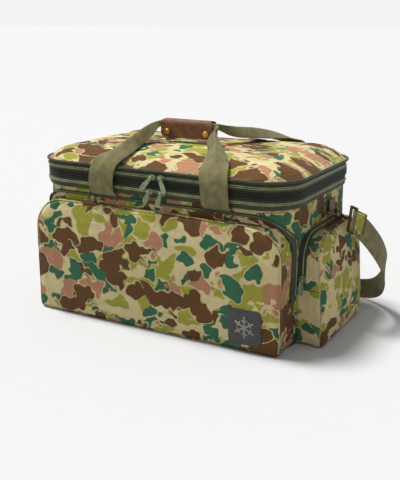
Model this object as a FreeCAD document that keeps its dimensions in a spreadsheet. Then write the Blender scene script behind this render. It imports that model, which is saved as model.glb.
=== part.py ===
import FreeCAD, Part
import math
import os
import re

import Sketcher
from FreeCAD import Placement, Rotation, Vector

# Soft insulated cooler bag: padded body, zipped tray and cover, pockets on three sides, webbing
# handles closed by a leather wrap, and a clip-on shoulder strap.
# Frame: origin on the floor under the middle of the body, +X right, +Y back, +Z up, millimetres.

SIZES = {
    # body and its layers
    "rim_width": 500.0, "rim_depth": 330.0, "rim_corner": 68.0,
    "rim_inset": 3.5, "body_inset": 7.0, "body_top": 246.2,
    "base_thick": 4.0, "fabric": 2.0, "foam": 12.0, "liner": 1.2, "gap": 0.3,
    "band_low": 236.0,
    # tray and cover
    "tray_low": 246.8, "tray_top": 271.4, "tray_wall": 9.0, "tray_floor": 4.0,
    "cover_low": 272.0, "cover_edge": 282.0, "cover_wall": 2.5,
    "crown_one": 291.0, "crown_two": 298.0, "crown_top": 303.0,
    "pipe_radius": 2.2, "pipe_level": 280.5,
    # zippers
    "tape_thick": 1.3, "tape_tall": 6.0, "coil_proud": 1.7, "coil_tall": 2.0, "zip_end": 105.0,
    # front pocket
    "front_half": 243.5, "front_base": 108.0, "front_face": 173.0, "front_top": 225.0,
    "front_round": 58.0, "front_split": 80.0, "pocket_wall": 2.5, "pocket_low": 0.0,
    # side pockets
    "side_half": 101.0, "side_face": 292.0, "side_top": 187.0, "side_round": 40.0,
    "side_split": 97.0, "side_zip": 253.2, "side_lean": 5.0,
    # webbing and leather
    "handle_mid": 16.0, "handle_spread": 110.0, "handle_web": 50.0, "web_thick": 2.0,
    "wrap_mid": 1.0, "wrap_back_y": 35.0, "wrap_long": 105.0, "wrap_low": 319.0, "wrap_tall": 33.0,
    "wrap_leather": 2.4, "snap_spread": 39.0, "snap_level": 330.0,
    "strap_web": 38.0, "strap_thick": 2.4,
    # hardware
    "slider_long": 12.0, "slider_tall": 9.0, "slider_thick": 2.0, "bail_out": 3.1, "bail_wire": 0.9,
    "pull_long": 27.0, "pull_short": 21.0, "pull_wide": 8.0, "pull_thick": 1.5,
    "ring_level": 203.0, "ring_y": 30.0, "ring_half": 15.0, "ring_wire": 1.9,
    "hook_wire": 2.2, "hook_radius": 8.0,
}

doc = FreeCAD.newDocument("CoolerBag")
sheet = doc.addObject("Spreadsheet::Sheet", "Sizes")
for row, (alias, size) in enumerate(SIZES.items(), start=1):
    sheet.set(f"A{row}", alias)
    sheet.set(f"B{row}", str(size))
    sheet.setAlias(f"B{row}", alias)
doc.recompute()

PLANES = {"XY": "XY_Plane", "XZ": "XZ_Plane", "YZ": "YZ_Plane"}
parts = []


# ---------------------------------------------------------------- shared helpers

def bound(text):
    """An expression in sheet words, with each word pointed at the sheet."""
    return re.sub(r"\b[a-z][a-z_]+\b", r"Sizes.\g<0>", str(text))


def size(text):
    """The number that an expression in sheet words gives."""
    return float(sheet.evalExpression(bound(text)))


def keep(shape_object, label):
    """Name a finished sub-part; its label names its file."""
    shape_object.Label = label
    parts.append(shape_object)
    return shape_object


def add_loop(sketch, tag, left, right, low, high, low_round=None, high_round=None):
    """Draw one closed rectangle with optional rounds at its low and high corners."""
    x0, x1, y0, y1 = size(left), size(right), size(low), size(high)
    rounds = [low_round, low_round, high_round, high_round]
    radii = [size(r) if r else 0.0 for r in rounds]
    corners = [(x0, y0, 1, 1), (x1, y0, -1, 1), (x1, y1, -1, -1), (x0, y1, 1, -1)]
    first = sketch.GeometryCount
    point = lambda x, y: Vector(x, y, 0)
    for i in range(4):
        ax, ay, asx, asy = corners[i]
        bx, by, bsx, bsy = corners[(i + 1) % 4]
        ra, rb = radii[i], radii[(i + 1) % 4]
        along_x = i % 2 == 0
        start = point(ax + asx * ra, ay) if along_x else point(ax, ay + asy * ra)
        end = point(bx + bsx * rb, by) if along_x else point(bx, by + bsy * rb)
        sketch.addGeometry(Part.LineSegment(start, end), False)
        sketch.addConstraint(Sketcher.Constraint("Horizontal" if along_x else "Vertical", first + i))
    arcs = {}
    for i in range(4):
        if not rounds[i]:
            sketch.addConstraint(Sketcher.Constraint("Coincident", first + (i - 1) % 4, 2, first + i, 1))
            continue
        cx, cy, sx, sy = corners[i]
        centre = point(cx + sx * radii[i], cy + sy * radii[i])
        turn = math.radians(180 + 90 * i)
        circle = Part.Circle(centre, Vector(0, 0, 1), radii[i])
        arcs[i] = sketch.addGeometry(Part.ArcOfCircle(circle, turn, turn + math.pi / 2), False)
        sketch.addConstraint(Sketcher.Constraint("Tangent", first + (i - 1) % 4, 2, arcs[i], 1))
        sketch.addConstraint(Sketcher.Constraint("Tangent", arcs[i], 2, first + i, 1))
    named = [("Left", "DistanceX", first + 3, left), ("Right", "DistanceX", first + 1, right),
             ("Low", "DistanceY", first, low), ("High", "DistanceY", first + 2, high)]
    for name, kind, line, text in named:
        index = sketch.addConstraint(Sketcher.Constraint(kind, -1, 1, line, 1, size(text)))
        sketch.renameConstraint(index, tag + name)
        sketch.setExpression("Constraints." + tag + name, bound(text))
    for name, pair, text in (("LowRound", (0, 1), low_round), ("HighRound", (2, 3), high_round)):
        if text:
            index = sketch.addConstraint(Sketcher.Constraint("Radius", arcs[pair[0]], size(text)))
            sketch.renameConstraint(index, tag + name)
            sketch.setExpression("Constraints." + tag + name, bound(text))
            sketch.addConstraint(Sketcher.Constraint("Equal", arcs[pair[0]], arcs[pair[1]]))


def new_sketch(body, name, plane, offset):
    """A sketch on one of the body's own origin planes, lifted along the plane's normal."""
    sketch = body.newObject("Sketcher::SketchObject", name)
    origin = next(o for o in body.Origin.OriginFeatures if o.Role == PLANES[plane])
    sketch.AttachmentSupport = [(origin, "")]
    sketch.MapMode = "FlatFace"
    sketch.setExpression(".AttachmentOffset.Base.z", bound(offset))
    return sketch


def prism(name, plane, offset, length, *loops):
    """A body padded from a sketch of rounded rectangles; further loops are holes."""
    body = doc.addObject("PartDesign::Body", name)
    sketch = new_sketch(body, name + "_sketch", plane, offset)
    for number, loop in enumerate(loops):
        add_loop(sketch, "Loop" + "ABCD"[number], *loop)
    pad = body.newObject("PartDesign::Pad", name + "_pad")
    pad.Profile = sketch
    pad.setExpression("Length", bound(length))
    sketch.Visibility = False
    return body


def outline(inset):
    """The rounded plan of the bag, drawn in by an expression from the piping line."""
    half_w, half_d = f"rim_width / 2 - ({inset})", f"rim_depth / 2 - ({inset})"
    corner = f"rim_corner - ({inset})"
    return (f"-({half_w})", half_w, f"-({half_d})", half_d, corner, corner)


def plan(name, low, high, outer, inner=None):
    """A slab, or a ring when inner is given, of the bag's plan between two levels."""
    loops = [outline(outer)] + ([outline(inner)] if inner else [])
    return prism(name, "XY", low, f"({high}) - ({low})", *loops)


def box(name, x, y, z, long, deep, tall):
    """A Part box whose corner and sides follow expressions."""
    solid = doc.addObject("Part::Box", name)
    for prop, text in (("Length", long), ("Width", deep), ("Height", tall),
                       (".Placement.Base.x", x), (".Placement.Base.y", y), (".Placement.Base.z", z)):
        solid.setExpression(prop, bound(text))
    return solid


def cut(name, base, *tools):
    """Base less each tool in turn."""
    for number, tool in enumerate(tools):
        step = doc.addObject("Part::Cut", f"{name}_{number}")
        step.Base, step.Tool = base, tool
        base = step
    return base


def common(name, base, tool):
    """What two solids share."""
    step = doc.addObject("Part::Common", name)
    step.Base, step.Tool = base, tool
    return step


def group(name, *solids):
    """Separate solids in one sub-part, or touching ones made one."""
    step = doc.addObject("Part::MultiFuse", name)
    step.Shapes = list(solids)
    return step


def mirrored(name, source):
    """The left-hand twin of a right-hand solid."""
    twin = doc.addObject("Part::Mirroring", name)
    twin.Source = source
    twin.Base = Vector(0, 0, 0)
    twin.Normal = Vector(1, 0, 0)
    return twin


def feature(label, shape, place=None):
    """A sub-part whose shape is worked out here from the sheet's sizes."""
    piece = doc.addObject("Part::Feature", label)
    piece.Shape = shape
    piece.Placement = place or shape.Placement
    return keep(piece, label)


def rod(start, end, radius):
    """A straight round bar between two points."""
    axis = Vector(end) - Vector(start)
    return Part.makeCylinder(radius, axis.Length, Vector(start), axis)


def slab(x0, x1, y0, y1, z0, z1):
    """A plain block between two corners."""
    return Part.makeBox(x1 - x0, y1 - y0, z1 - z0, Vector(x0, y0, z0))


def ribbon(route, thick):
    """A flat web through stations of (point, half width vector, face normal)."""
    wires = []
    for point, half, normal in route:
        centre, across = Vector(*point), Vector(*half)
        out = Vector(*normal)
        out.normalize()
        out = out * (thick / 2)
        ends = [centre + across + out, centre - across + out, centre - across - out, centre + across - out]
        wires.append(Part.makePolygon(ends + [ends[0]]))
    spans = [Part.makeLoft(list(pair), True, True) for pair in zip(wires, wires[1:])]
    return spans[0].fuse(spans[1:])


# ---------------------------------------------------------------- body, tray and cover

def make_body():
    """The padded body: base, outer fabric, foam, foil liner and the band at its rim."""
    inside = "body_inset + fabric + gap"
    keep(plan("base_panel", "0", "base_thick", "body_inset"), "base_panel")
    keep(plan("wall_shell", "base_thick + gap", "body_top", "body_inset", "body_inset + fabric"), "wall_shell")
    keep(plan("foam_base", "base_thick + gap", "base_thick + foam", inside), "foam_base")
    keep(plan("foam_wall", "base_thick + foam + gap", "body_top", inside, inside + " + foam"), "foam_wall")
    tub_edge = inside + " + foam + gap"
    tub = plan("tub_block", "base_thick + foam + gap", "body_top", tub_edge)
    hollow = plan("tub_hollow", "base_thick + foam + gap + liner", "body_top + 1", tub_edge + " + liner")
    keep(cut("liner_tub", tub, hollow), "liner_tub")
    keep(plan("rim_band", "band_low", "body_top", "rim_inset", "body_inset - gap"), "rim_band")


def ridged_ring(name, low, high, inset, wall):
    """A ring with three stitched ridges that stand a little proud of it."""
    ring = plan(name + "_ring", low, high, inset, f"{inset} + {wall}")
    ridges = []
    for number in range(3):
        middle = f"tray_low + 8.6 + {number} * 4.2"
        ridges.append(plan(f"{name}_ridge_{number}", f"{middle} - 1.1", f"{middle} + 1.1",
                           f"{inset} - 2.2", f"{inset} + 1"))
    return group(name, ring, *ridges)


def make_tray():
    """The shallow zipped tray between the body and the cover."""
    keep(ridged_ring("tray_gusset", "tray_low", "tray_top", "rim_inset", "tray_wall"), "tray_gusset")
    keep(plan("tray_floor", "tray_low", "tray_low + tray_floor", "rim_inset + tray_wall + gap"), "tray_floor")


def crown(name, inset, drop):
    """A crowned block: the bag's plan at four levels, each drawn further in."""
    body = doc.addObject("PartDesign::Body", name)
    levels = [("cover_edge", "0"), (f"crown_one - {drop}", "10"),
              (f"crown_two - {drop}", "28"), (f"crown_top - {drop}", "54")]
    sections = []
    for number, (level, further) in enumerate(levels):
        sketch = new_sketch(body, f"{name}_section_{number}", "XY", level)
        add_loop(sketch, "LoopA", *outline(f"{inset} + {further}"))
        sections.append(sketch)
    loft = body.newObject("PartDesign::AdditiveLoft", name + "_loft")
    loft.Profile = sections[0]
    loft.Sections = sections[1:]
    loft.Ruled = True
    return body


def make_cover():
    """The padded cover: crowned outer fabric, foam, liner, piping and a sewn tab."""
    outer = group("cover_outer", plan("cover_skirt", "cover_low", "cover_edge", "rim_inset"),
                  crown("cover_crown", "rim_inset", "0"))
    inner = group("cover_inner", plan("cover_well", "cover_low - 1", "cover_edge", "rim_inset + cover_wall"),
                  crown("cover_dome", "rim_inset + cover_wall", "cover_wall"))
    keep(cut("cover_shell", outer, inner), "cover_shell")
    edge = "rim_inset + cover_wall + gap"
    foam = group("foam_block", plan("foam_skirt", "cover_low + liner + gap", "cover_edge", edge),
                 crown("foam_dome", edge, "(cover_wall + gap)"))
    keep(foam, "cover_foam")
    keep(plan("cover_liner", "cover_low", "cover_low + liner", edge), "cover_liner")

    piping = doc.addObject("PartDesign::Body", "cover_piping_body")
    spine = new_sketch(piping, "piping_spine", "XY", "pipe_level")
    add_loop(spine, "LoopA", *outline("rim_inset - gap - pipe_radius"))
    profile = new_sketch(piping, "piping_profile", "YZ", "0")
    reach = size("rim_depth / 2 - rim_inset + gap + pipe_radius")
    profile.addGeometry(Part.Circle(Vector(-reach, size("pipe_level"), 0), Vector(0, 0, 1), size("pipe_radius")))
    bindings = (("Reach", Sketcher.Constraint("DistanceX", 0, 3, -1, 1, reach),
                 "rim_depth / 2 - rim_inset + gap + pipe_radius"),
                ("Level", Sketcher.Constraint("DistanceY", -1, 1, 0, 3, size("pipe_level")), "pipe_level"),
                ("Wire", Sketcher.Constraint("Radius", 0, size("pipe_radius")), "pipe_radius"))
    for name, constraint, text in bindings:
        profile.renameConstraint(profile.addConstraint(constraint), name)
        profile.setExpression("Constraints." + name, bound(text))
    pipe = piping.newObject("PartDesign::AdditivePipe", "piping_pipe")
    pipe.Profile = profile
    pipe.Spine = (spine, [])
    keep(piping, "cover_piping")

    keep(prism("lid_tab_body", "XY", "crown_top + gap", "fabric", ("62", "96", "68", "98", "3", "3")), "lid_tab")


def stringer(label, tape_low, coil_low):
    """One half of a rim zipper: cloth tape and coil round three sides."""
    tape_out = "rim_inset - gap - tape_thick"
    tape = plan(label + "_tape", tape_low, f"({tape_low}) + tape_tall", tape_out, "rim_inset - gap")
    coil = plan(label + "_coil", coil_low, f"({coil_low}) + coil_tall", f"{tape_out} - coil_proud", tape_out)
    back = box(label + "_back", "-rim_width", "zip_end", "0", "2 * rim_width", "rim_depth", "2 * rim_width")
    keep(cut(label, group(label + "_half", tape, coil), back), label)


def make_rim_zippers():
    """Two zippers, each of two meshing halves: body to tray, and tray to cover."""
    stringer("main_zip_body_half", "body_top - tape_tall", "body_top - coil_tall")
    stringer("main_zip_tray_half", "tray_low", "tray_low")
    stringer("top_zip_tray_half", "tray_top - tape_tall", "tray_top - coil_tall")
    stringer("top_zip_cover_half", "cover_low", "cover_low")


# ---------------------------------------------------------------- pockets

def front_block(name, grow, face):
    """The front pocket's outer form, grown by an expression."""
    half = f"front_half + ({grow})"
    loop = (f"-({half})", half, f"pocket_low - ({grow})", f"front_top + ({grow})", None,
            f"front_round + ({grow})")
    return prism(name, "XZ", f"front_base - ({grow})", f"({face}) - front_base + ({grow})", loop)


def side_block(name, grow, face):
    """The right side pocket's outer form, grown by an expression, with its leaning face."""
    half = f"side_half + ({grow})"
    loop = (f"-({half})", half, f"pocket_low - ({grow})", f"side_top + ({grow})", None,
            f"side_round + ({grow})")
    block = prism(name + "_block", "YZ", "rim_width / 2 - 30", f"({face}) - rim_width / 2 + 30", loop)
    lean = box(name + "_lean", face, "-rim_depth", "0", "100", "2 * rim_depth", "300")
    lean.Placement = Placement(Vector(), Rotation(Vector(0, 1, 0), -size("side_lean")))
    for axis, text in (("x", f"({face}) + 4"), ("y", "-rim_depth"), ("z", "0")):
        lean.setExpression(".Placement.Base." + axis, bound(text))
    return cut(name, block, lean)


def body_tool(name, clear):
    """The body's plan, grown by a clearance, to cut the pockets against."""
    return plan(name, "-10", "300", f"body_inset - ({clear})")


def above(name, level, x_from="-2 * rim_width", x_to="2 * rim_width"):
    """A block that holds all above a level, between two X positions."""
    return box(name, x_from, "-rim_width", level, f"({x_to}) - ({x_from})", "2 * rim_width", "300")


def make_front_pocket():
    """The big front pocket: a fixed lower part, a zipped flap, and the zipper tape on the body."""
    shell = cut("front_shell", front_block("front_outer", "0", "front_face"),
                body_tool("front_body_tool", "gap"),
                front_block("front_inner", "-pocket_wall", "front_face - pocket_wall"),
                box("front_mouth", "-front_half + pocket_wall", "-front_face + pocket_wall",
                    "pocket_low + pocket_wall", "2 * (front_half - pocket_wall)",
                    "front_face - front_base", "front_split - pocket_wall"))
    keep(cut("front_lower", shell, above("front_above", "front_split - gap")), "front_pocket_lower")
    keep(common("front_flap", shell, above("front_keep", "front_split")), "front_pocket_flap")

    ring = cut("front_tape_ring", body_tool("front_tape_out", "gap + tape_thick"),
               body_tool("front_tape_in", "gap"))
    frame = cut("front_tape_frame", front_block("front_frame_out", "tape_tall - 2", "front_face"),
                front_block("front_frame_in", "gap", "front_face + 10"))
    tape = common("front_tape", common("front_tape_all", ring, frame), above("front_tape_keep", "front_split"))
    sleeve = cut("front_sleeve", front_block("front_sleeve_out", "gap + tape_thick", "front_face - 4"),
                 front_block("front_sleeve_in", "gap", "front_face + 10"),
                 body_tool("front_sleeve_body", "gap + tape_thick + 1"))
    near = common("front_sleeve_near", sleeve, body_tool("front_sleeve_reach", "8"))
    keep(common("front_sleeve_top", near, above("front_sleeve_keep", "front_split")), "front_zip_flap_half")

    face = size("front_face")
    badge = Part.makeBox(58, 1.2, 62, Vector(157, -face - size("gap") - 1.2, 14))
    upright = [edge for edge in badge.Edges if abs(edge.tangentAt(edge.FirstParameter).y) > 0.9]
    feature("pocket_badge", badge.makeFillet(7, upright))
    return tape


def make_side_pockets(front_tape):
    """A pocket on each end: a fixed lower part with its back frame, and a flap."""
    shell = cut("side_shell", side_block("side_outer", "0", "side_face"),
                body_tool("side_body_tool", "gap"),
                side_block("side_inner", "-pocket_wall", "side_face - pocket_wall"))
    moving = above("side_moving", "side_split", "side_zip + gap")
    lower = cut("side_lower_right", shell, above("side_above", "side_split - gap", "side_zip"))
    keep(group("side_lowers", lower, mirrored("side_lower_left", lower)), "side_pocket_lowers")
    flap = common("side_flap_right", shell, moving)
    keep(flap, "side_pocket_flap_right")
    keep(mirrored("side_flap_left", flap), "side_pocket_flap_left")

    sleeve = cut("side_sleeve", side_block("side_sleeve_out", "gap + tape_thick", "side_face"),
                 side_block("side_sleeve_in", "gap", "side_face + 10"),
                 body_tool("side_sleeve_body", "gap"))
    high = common("side_sleeve_high", sleeve, above("side_sleeve_keep", "side_split + 6"))
    fixed = common("side_tape_fixed", high, above("side_fixed_keep", "0", "0", "side_zip - gap"))
    tapes = group("pocket_tapes", front_tape, fixed, mirrored("side_tape_left", fixed))
    keep(tapes, "pocket_zip_body_halves")
    hung = common("side_tape_hung", high, above("side_hung_keep", "0", "side_zip + gap", "side_zip + 5"))
    keep(hung, "side_zip_flap_half_right")
    keep(mirrored("side_tape_hung_left", hung), "side_zip_flap_half_left")


# ---------------------------------------------------------------- handles and their wrap

def leg_route(side, sign):
    """Stations of one handle leg: sign -1 for the front handle, +1 for the back one."""
    across = size("handle_web / 2")
    mid = size("handle_mid") + side * size("handle_spread")
    end = size("wrap_mid") + side * (size("wrap_long / 2") + 3.6)
    grip_y = -size("wrap_back_y") + sign * 3.4
    grip_z = size("wrap_low + wrap_tall") - 10
    wide = (across, 0, 0)
    if sign < 0:
        route = [((mid, -161.2, 229.5), wide, (0, -1, -0.5)), ((mid, -169.5, 238), wide, (0, -1, -0.7)),
                 ((mid, -177, 248), wide, (0, -1, -0.3)), ((mid, -178.5, 266), wide, (0, -1, 0.1)),
                 ((mid - side * 2, -172, 285), wide, (0, -1, 0.7)),
                 ((mid - side * 12, -138, 305), wide, (0, -0.4, 1))]
        near_y, far_y = -95, -60
    else:
        route = [((mid, 171, 284), wide, (0, 1, 0.4)), ((mid - side * 2, 160, 294), wide, (0, 0.6, 1)),
                 ((mid - side * 12, 126, 307), wide, (0, 0.2, 1))]
        near_y, far_y = 60, 5
    turn = -sign * side
    route.append(((mid + (end - mid) * 0.55, near_y, 314), (across * 0.8, turn * across * 0.1, 0),
                  (0, 0.1 * sign, 1)))
    route.append(((end + side * 14, far_y, 329), (across * 0.4, turn * across * 0.4, 0), (0, 0, 1)))
    route.append(((end, grip_y, grip_z), (0, 0, 6), (0, sign * side, 0)))
    return route


def make_handles():
    """Two webbing handles; each is a pair of legs and the bunched grip inside the wrap."""
    thick = size("web_thick")
    half = size("wrap_long / 2")
    top = size("wrap_low + wrap_tall - wrap_leather - gap")
    for label, sign in (("front_handle_webbing", -1), ("back_handle_webbing", 1)):
        legs = [ribbon(leg_route(side, sign), thick) for side in (-1, 1)]
        grip_y = -size("wrap_back_y") + sign * 3.4
        mid = size("wrap_mid")
        grip = slab(mid - half - 3.2, mid + half + 3.2, grip_y - 2.9, grip_y + 2.9, top - 13.5, top - 0.5)
        feature(label, Part.makeCompound([grip] + legs))
    across = size("handle_web / 2")
    spans = {"back_handle_anchors": (229.5, 246.0, 164.5), "back_handle_run": (247.0, 282.0, 170.0)}
    for label, (low, high, back) in spans.items():
        pieces = []
        for side in (-1, 1):
            mid = size("handle_mid") + side * size("handle_spread")
            pieces.append(slab(mid - across, mid + across, back, back + thick, low, high))
        feature(label, Part.makeCompound(pieces))


def rounded_plate(x0, x1, y0, y1, z0, z1, radius):
    """An upright leather plate with rounded corners."""
    plate = slab(x0, x1, y0, y1, z0, z1)
    edges = [edge for edge in plate.Edges if abs(edge.tangentAt(edge.FirstParameter).y) > 0.9]
    return plate.makeFillet(radius, edges)


def make_wrap():
    """The leather wrap: a back half with its top fold, a flap, and two snaps."""
    mid, half = size("wrap_mid"), size("wrap_long / 2")
    low, high = size("wrap_low"), size("wrap_low + wrap_tall")
    leather, gap = size("wrap_leather"), size("gap")
    centre = -size("wrap_back_y")
    inner = 6.9
    back = rounded_plate(mid - half, mid + half, centre + inner, centre + inner + leather, low, high, 9)
    fold = slab(mid - half + 9, mid + half - 9, centre - inner, centre + inner + 1, high - leather, high)
    feature("wrap_back", back.fuse(fold).removeSplitter())
    flap = rounded_plate(mid - half, mid + half, centre - inner - leather - gap, centre - inner - gap,
                         low, high - leather - gap, 9)
    feature("wrap_flap", flap)
    face = centre - inner - leather - 2 * gap
    level = size("snap_level")
    caps, studs = [], []
    for side in (-1, 1):
        x = mid + side * size("snap_spread")
        dome = Part.makeCylinder(5.6, 1.0, Vector(x, face, level), Vector(0, -1, 0))
        crown_top = Part.makeCylinder(4.2, 1.2, Vector(x, face - 1.0, level), Vector(0, -1, 0))
        crown_top = crown_top.makeChamfer(0.8, [crown_top.Edges[0]])
        caps.append(dome.fuse(crown_top).removeSplitter())
        caps.append(Part.makeCylinder(4.0, 5.6, Vector(x, centre - 0.6, level), Vector(0, -1, 0)))
        studs.append(Part.makeCylinder(4.0, 5.9, Vector(x, centre + inner - gap, level), Vector(0, -1, 0)))
    feature("snap_caps", Part.makeCompound(caps))
    feature("snap_studs", Part.makeCompound(studs))


# ---------------------------------------------------------------- sliders, rings, hooks and strap

def slider_shape(tilt):
    """A slider plate with its bail, travel along X, facing -Y; tilt turns the bail."""
    long, tall, thick = size("slider_long"), size("slider_tall"), size("slider_thick")
    wire, reach = size("bail_wire"), size("bail_out")
    plate = slab(-long / 2, long / 2, -thick, 0, -tall / 2, tall / 2)
    upright = [edge for edge in plate.Edges if abs(edge.tangentAt(edge.FirstParameter).y) > 0.9]
    plate = plate.makeChamfer(2.4, upright)
    out = -thick - reach
    posts = [slab(x - 0.7, x + 0.7, out - wire, -thick / 2, -wire - 0.3, wire + 0.3) for x in (-3.6, 3.6)]
    bail = rod((-3.2, out, 0), (3.2, out, 0), wire).fuse(posts)
    bail.rotate(Vector(), Vector(0, 1, 0), tilt)
    return plate.fuse(bail)


def pull_shape(long):
    """A pull tab hung from its barrel, which turns on the bail's bar along X."""
    half, thick = size("pull_wide / 2"), size("pull_thick")
    barrel = rod((-2.2, 0, 0), (2.2, 0, 0), 2.1)
    plate = slab(-half * 0.7, half * 0.7, -thick / 2, thick / 2, -long + half, 0)
    ring = Part.makeCylinder(half, thick, Vector(0, thick / 2, -long + half), Vector(0, -1, 0))
    eye = Part.makeCylinder(half * 0.55, 3 * thick, Vector(0, 1.5 * thick, -long + half), Vector(0, -1, 0))
    slot = slab(-half * 0.3, half * 0.3, -thick, thick, -long * 0.62, -5)
    tab = barrel.fuse([plate, ring]).cut(Part.makeCompound([eye, slot]))
    return tab.cut(rod((-5, 0, 0), (5, 0, 0), size("bail_wire") + 0.35)).removeSplitter()


# name: (place of the slider's back, turn about Z, travel upright, bail tilt, pull lean, pull length)
SLIDERS = {
    "top_slider_left": ((8, -168.3, 271.7), 0, False, 38, 14, "pull_long"),
    "top_slider_right": ((25, -168.3, 271.7), 0, False, -32, 14, "pull_long"),
    "main_slider_left": ((3, -168.3, 246.5), 0, False, 22, 2, "pull_short"),
    "main_slider_right": ((27, -168.3, 246.5), 0, False, 18, 2, "pull_short"),
    "front_pocket_slider": ((-246.0, -115.5, 84), -90, True, 0, 2, "pull_long"),
    "side_slider_right": ((253.2, -103.4, 117), 0, True, 0, 2, "pull_long"),
    "side_slider_left": ((-253.2, -103.4, 117), 0, True, 0, 2, "pull_long"),
}


def make_sliders():
    """Each slider with its own pull."""
    for name, (place, turn, upright, tilt, lean, long) in SLIDERS.items():
        face = Placement(Vector(*place), Rotation(Vector(0, 0, 1), turn))
        travel = Placement(Vector(), Rotation(Vector(0, 1, 0), 90 if upright else 0))
        feature(name, slider_shape(90 if upright else tilt), face.multiply(travel))
        hang = Placement(Vector(0, -size("slider_thick + bail_out"), 0), Rotation(Vector(0, 1, 0), tilt))
        hang = hang.multiply(Placement(Vector(), Rotation(Vector(1, 0, 0), -lean)))
        feature(name.replace("slider", "pull"), pull_shape(size(long)), face.multiply(hang))


def hook_frame():
    """Placement of the right hook: local +X from the D-ring to the strap loop, local +Z up."""
    start = Vector(263.5, size("ring_y"), 199.0)
    along = Vector(305.0, size("ring_y") - 20.0, 193.0) - start
    along.normalize()
    normal = Vector(0, 0, 1).cross(along)
    normal.normalize()
    return Placement(start, Rotation(along, normal, along.cross(normal), "XZY"))


def make_ring_tabs():
    """Folded webbing tabs that hold the D-rings on the body's ends."""
    wall = size("rim_width / 2 - body_inset") + size("gap")
    level, y, half = size("ring_level"), size("ring_y"), size("ring_half") - 3.5
    wire = size("ring_wire")
    pieces = []
    for side in (-1, 1):
        x0, x1 = wall + 0.2, wall + 1.6
        inner = slab(x0, x1, y - half, y + half, level - 1, 231)
        outer = slab(x1 + 2 * wire + 1.2, x1 + 2 * wire + 2.6, y - half, y + half, level - 1, 222)
        bridge = slab(x0, x1 + 2 * wire + 2.6, y - half, y + half, level - 4.4, level - 3.0)
        cap = slab(x0, x1 + 2 * wire + 2.6, y - half, y + half, 222, 224)
        side_inner = slab(x0, x1, y - half, y + half, level - 4.4, level)
        side_outer = slab(x1 + 2 * wire + 1.2, x1 + 2 * wire + 2.6, y - half, y + half, level - 4.4, level)
        tab = inner.fuse([outer, bridge, cap, side_inner, side_outer]).removeSplitter()
        pieces.append(tab if side > 0 else tab.mirror(Vector(), Vector(1, 0, 0)))
    feature("ring_tabs", Part.makeCompound(pieces))


def ring_shape(side):
    """A D-ring: a straight bar in the tab and a bow that hangs outwards."""
    wire, half = size("ring_wire"), size("ring_half")
    wall = size("rim_width / 2 - body_inset") + size("gap")
    bar_x = wall + 1.6 + wire + 0.6
    y, level = size("ring_y"), size("ring_level")
    bar = rod((bar_x, y - half, level), (bar_x, y + half, level), wire)
    bow = Part.makeTorus(half, wire, Vector(), Vector(0, 0, 1), -180, 180, 180)
    bow.rotate(Vector(), Vector(0, 0, 1), -90)
    bow.rotate(Vector(), Vector(0, 1, 0), 18)
    bow.translate(Vector(bar_x, y, level))
    balls = [Part.makeSphere(wire, Vector(bar_x, y + end * half, level)) for end in (-1, 1)]
    ring = bar.fuse([bow] + balls).removeSplitter()
    return ring if side > 0 else ring.mirror(Vector(), Vector(1, 0, 0))


def hook_shapes():
    """Hook, gate and strap loop in the hook's own frame, ring end at the origin."""
    wire, radius = size("hook_wire"), size("hook_radius")
    start, stop = math.radians(110), math.radians(180 + 200)
    middle = (start + stop) / 2
    on_eye = lambda turn: Vector(radius * math.cos(turn), 0, radius * math.sin(turn))
    arc = Part.Arc(on_eye(start), on_eye(middle), on_eye(stop)).toShape()
    tangent = Vector(-math.sin(start), 0, math.cos(start))
    section = Part.Wire(Part.makeCircle(wire, on_eye(start), tangent))
    eye = Part.Wire(arc).makePipeShell([section], True, True)
    shank = rod((radius - 1, 0, 0), (radius + 9, 0, 0), wire + 0.9)
    barrel = rod((radius + 9, 0, 0), (radius + 14, 0, 0), wire + 2.0)
    hook = eye.fuse([shank, barrel]).removeSplitter()
    chord = on_eye(start) - on_eye(stop)
    chord.normalize()
    gate = rod(on_eye(stop) + chord * 2.6, on_eye(start) - chord * 2.6, 1.2)
    first = radius + 14.4
    half = size("strap_web / 2 + 3")
    bars = [slab(first + x - 1.9, first + x + 1.9, -1.9, 1.9, -half - 1.9, half + 1.9) for x in (5, 17)]
    links = [slab(first + 5, first + 17, -1.9, 1.9, end * half - 1.9, end * half + 1.9) for end in (-1, 1)]
    pin = rod((first, 0, 0), (first + 4, 0, 0), 1.6)
    loop = bars[0].fuse([bars[1], pin] + links).removeSplitter()
    return {"hook": hook, "hook_gate": gate, "strap_loop": loop}


def make_hardware():
    """D-rings, swivel hooks with their gates, and the strap loops, on both ends."""
    for side, word in ((1, "right"), (-1, "left")):
        feature("ring_" + word, ring_shape(side))
        for name, shape in hook_shapes().items():
            placed = shape.copy()
            placed.Placement = hook_frame()
            if side < 0:
                placed = placed.mirror(Vector(), Vector(1, 0, 0))
            feature(name + "_" + word, placed)


# Stations of the shoulder strap, from the right loop round the back to the left one.
STRAP_ROUTE = [
    (307, 8, 190), (318, 34, 166), (328, 66, 134), (332, 96, 100), (325, 122, 66), (306, 148, 36),
    (276, 168, 21.5), (225, 180, 20), (120, 184, 20), (0, 182, 20), (-120, 186, 20), (-225, 181, 20),
    (-276, 168, 21.5), (-306, 148, 36), (-325, 122, 66), (-332, 96, 100), (-328, 66, 134),
    (-318, 34, 166), (-307, 8, 190),
]


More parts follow.
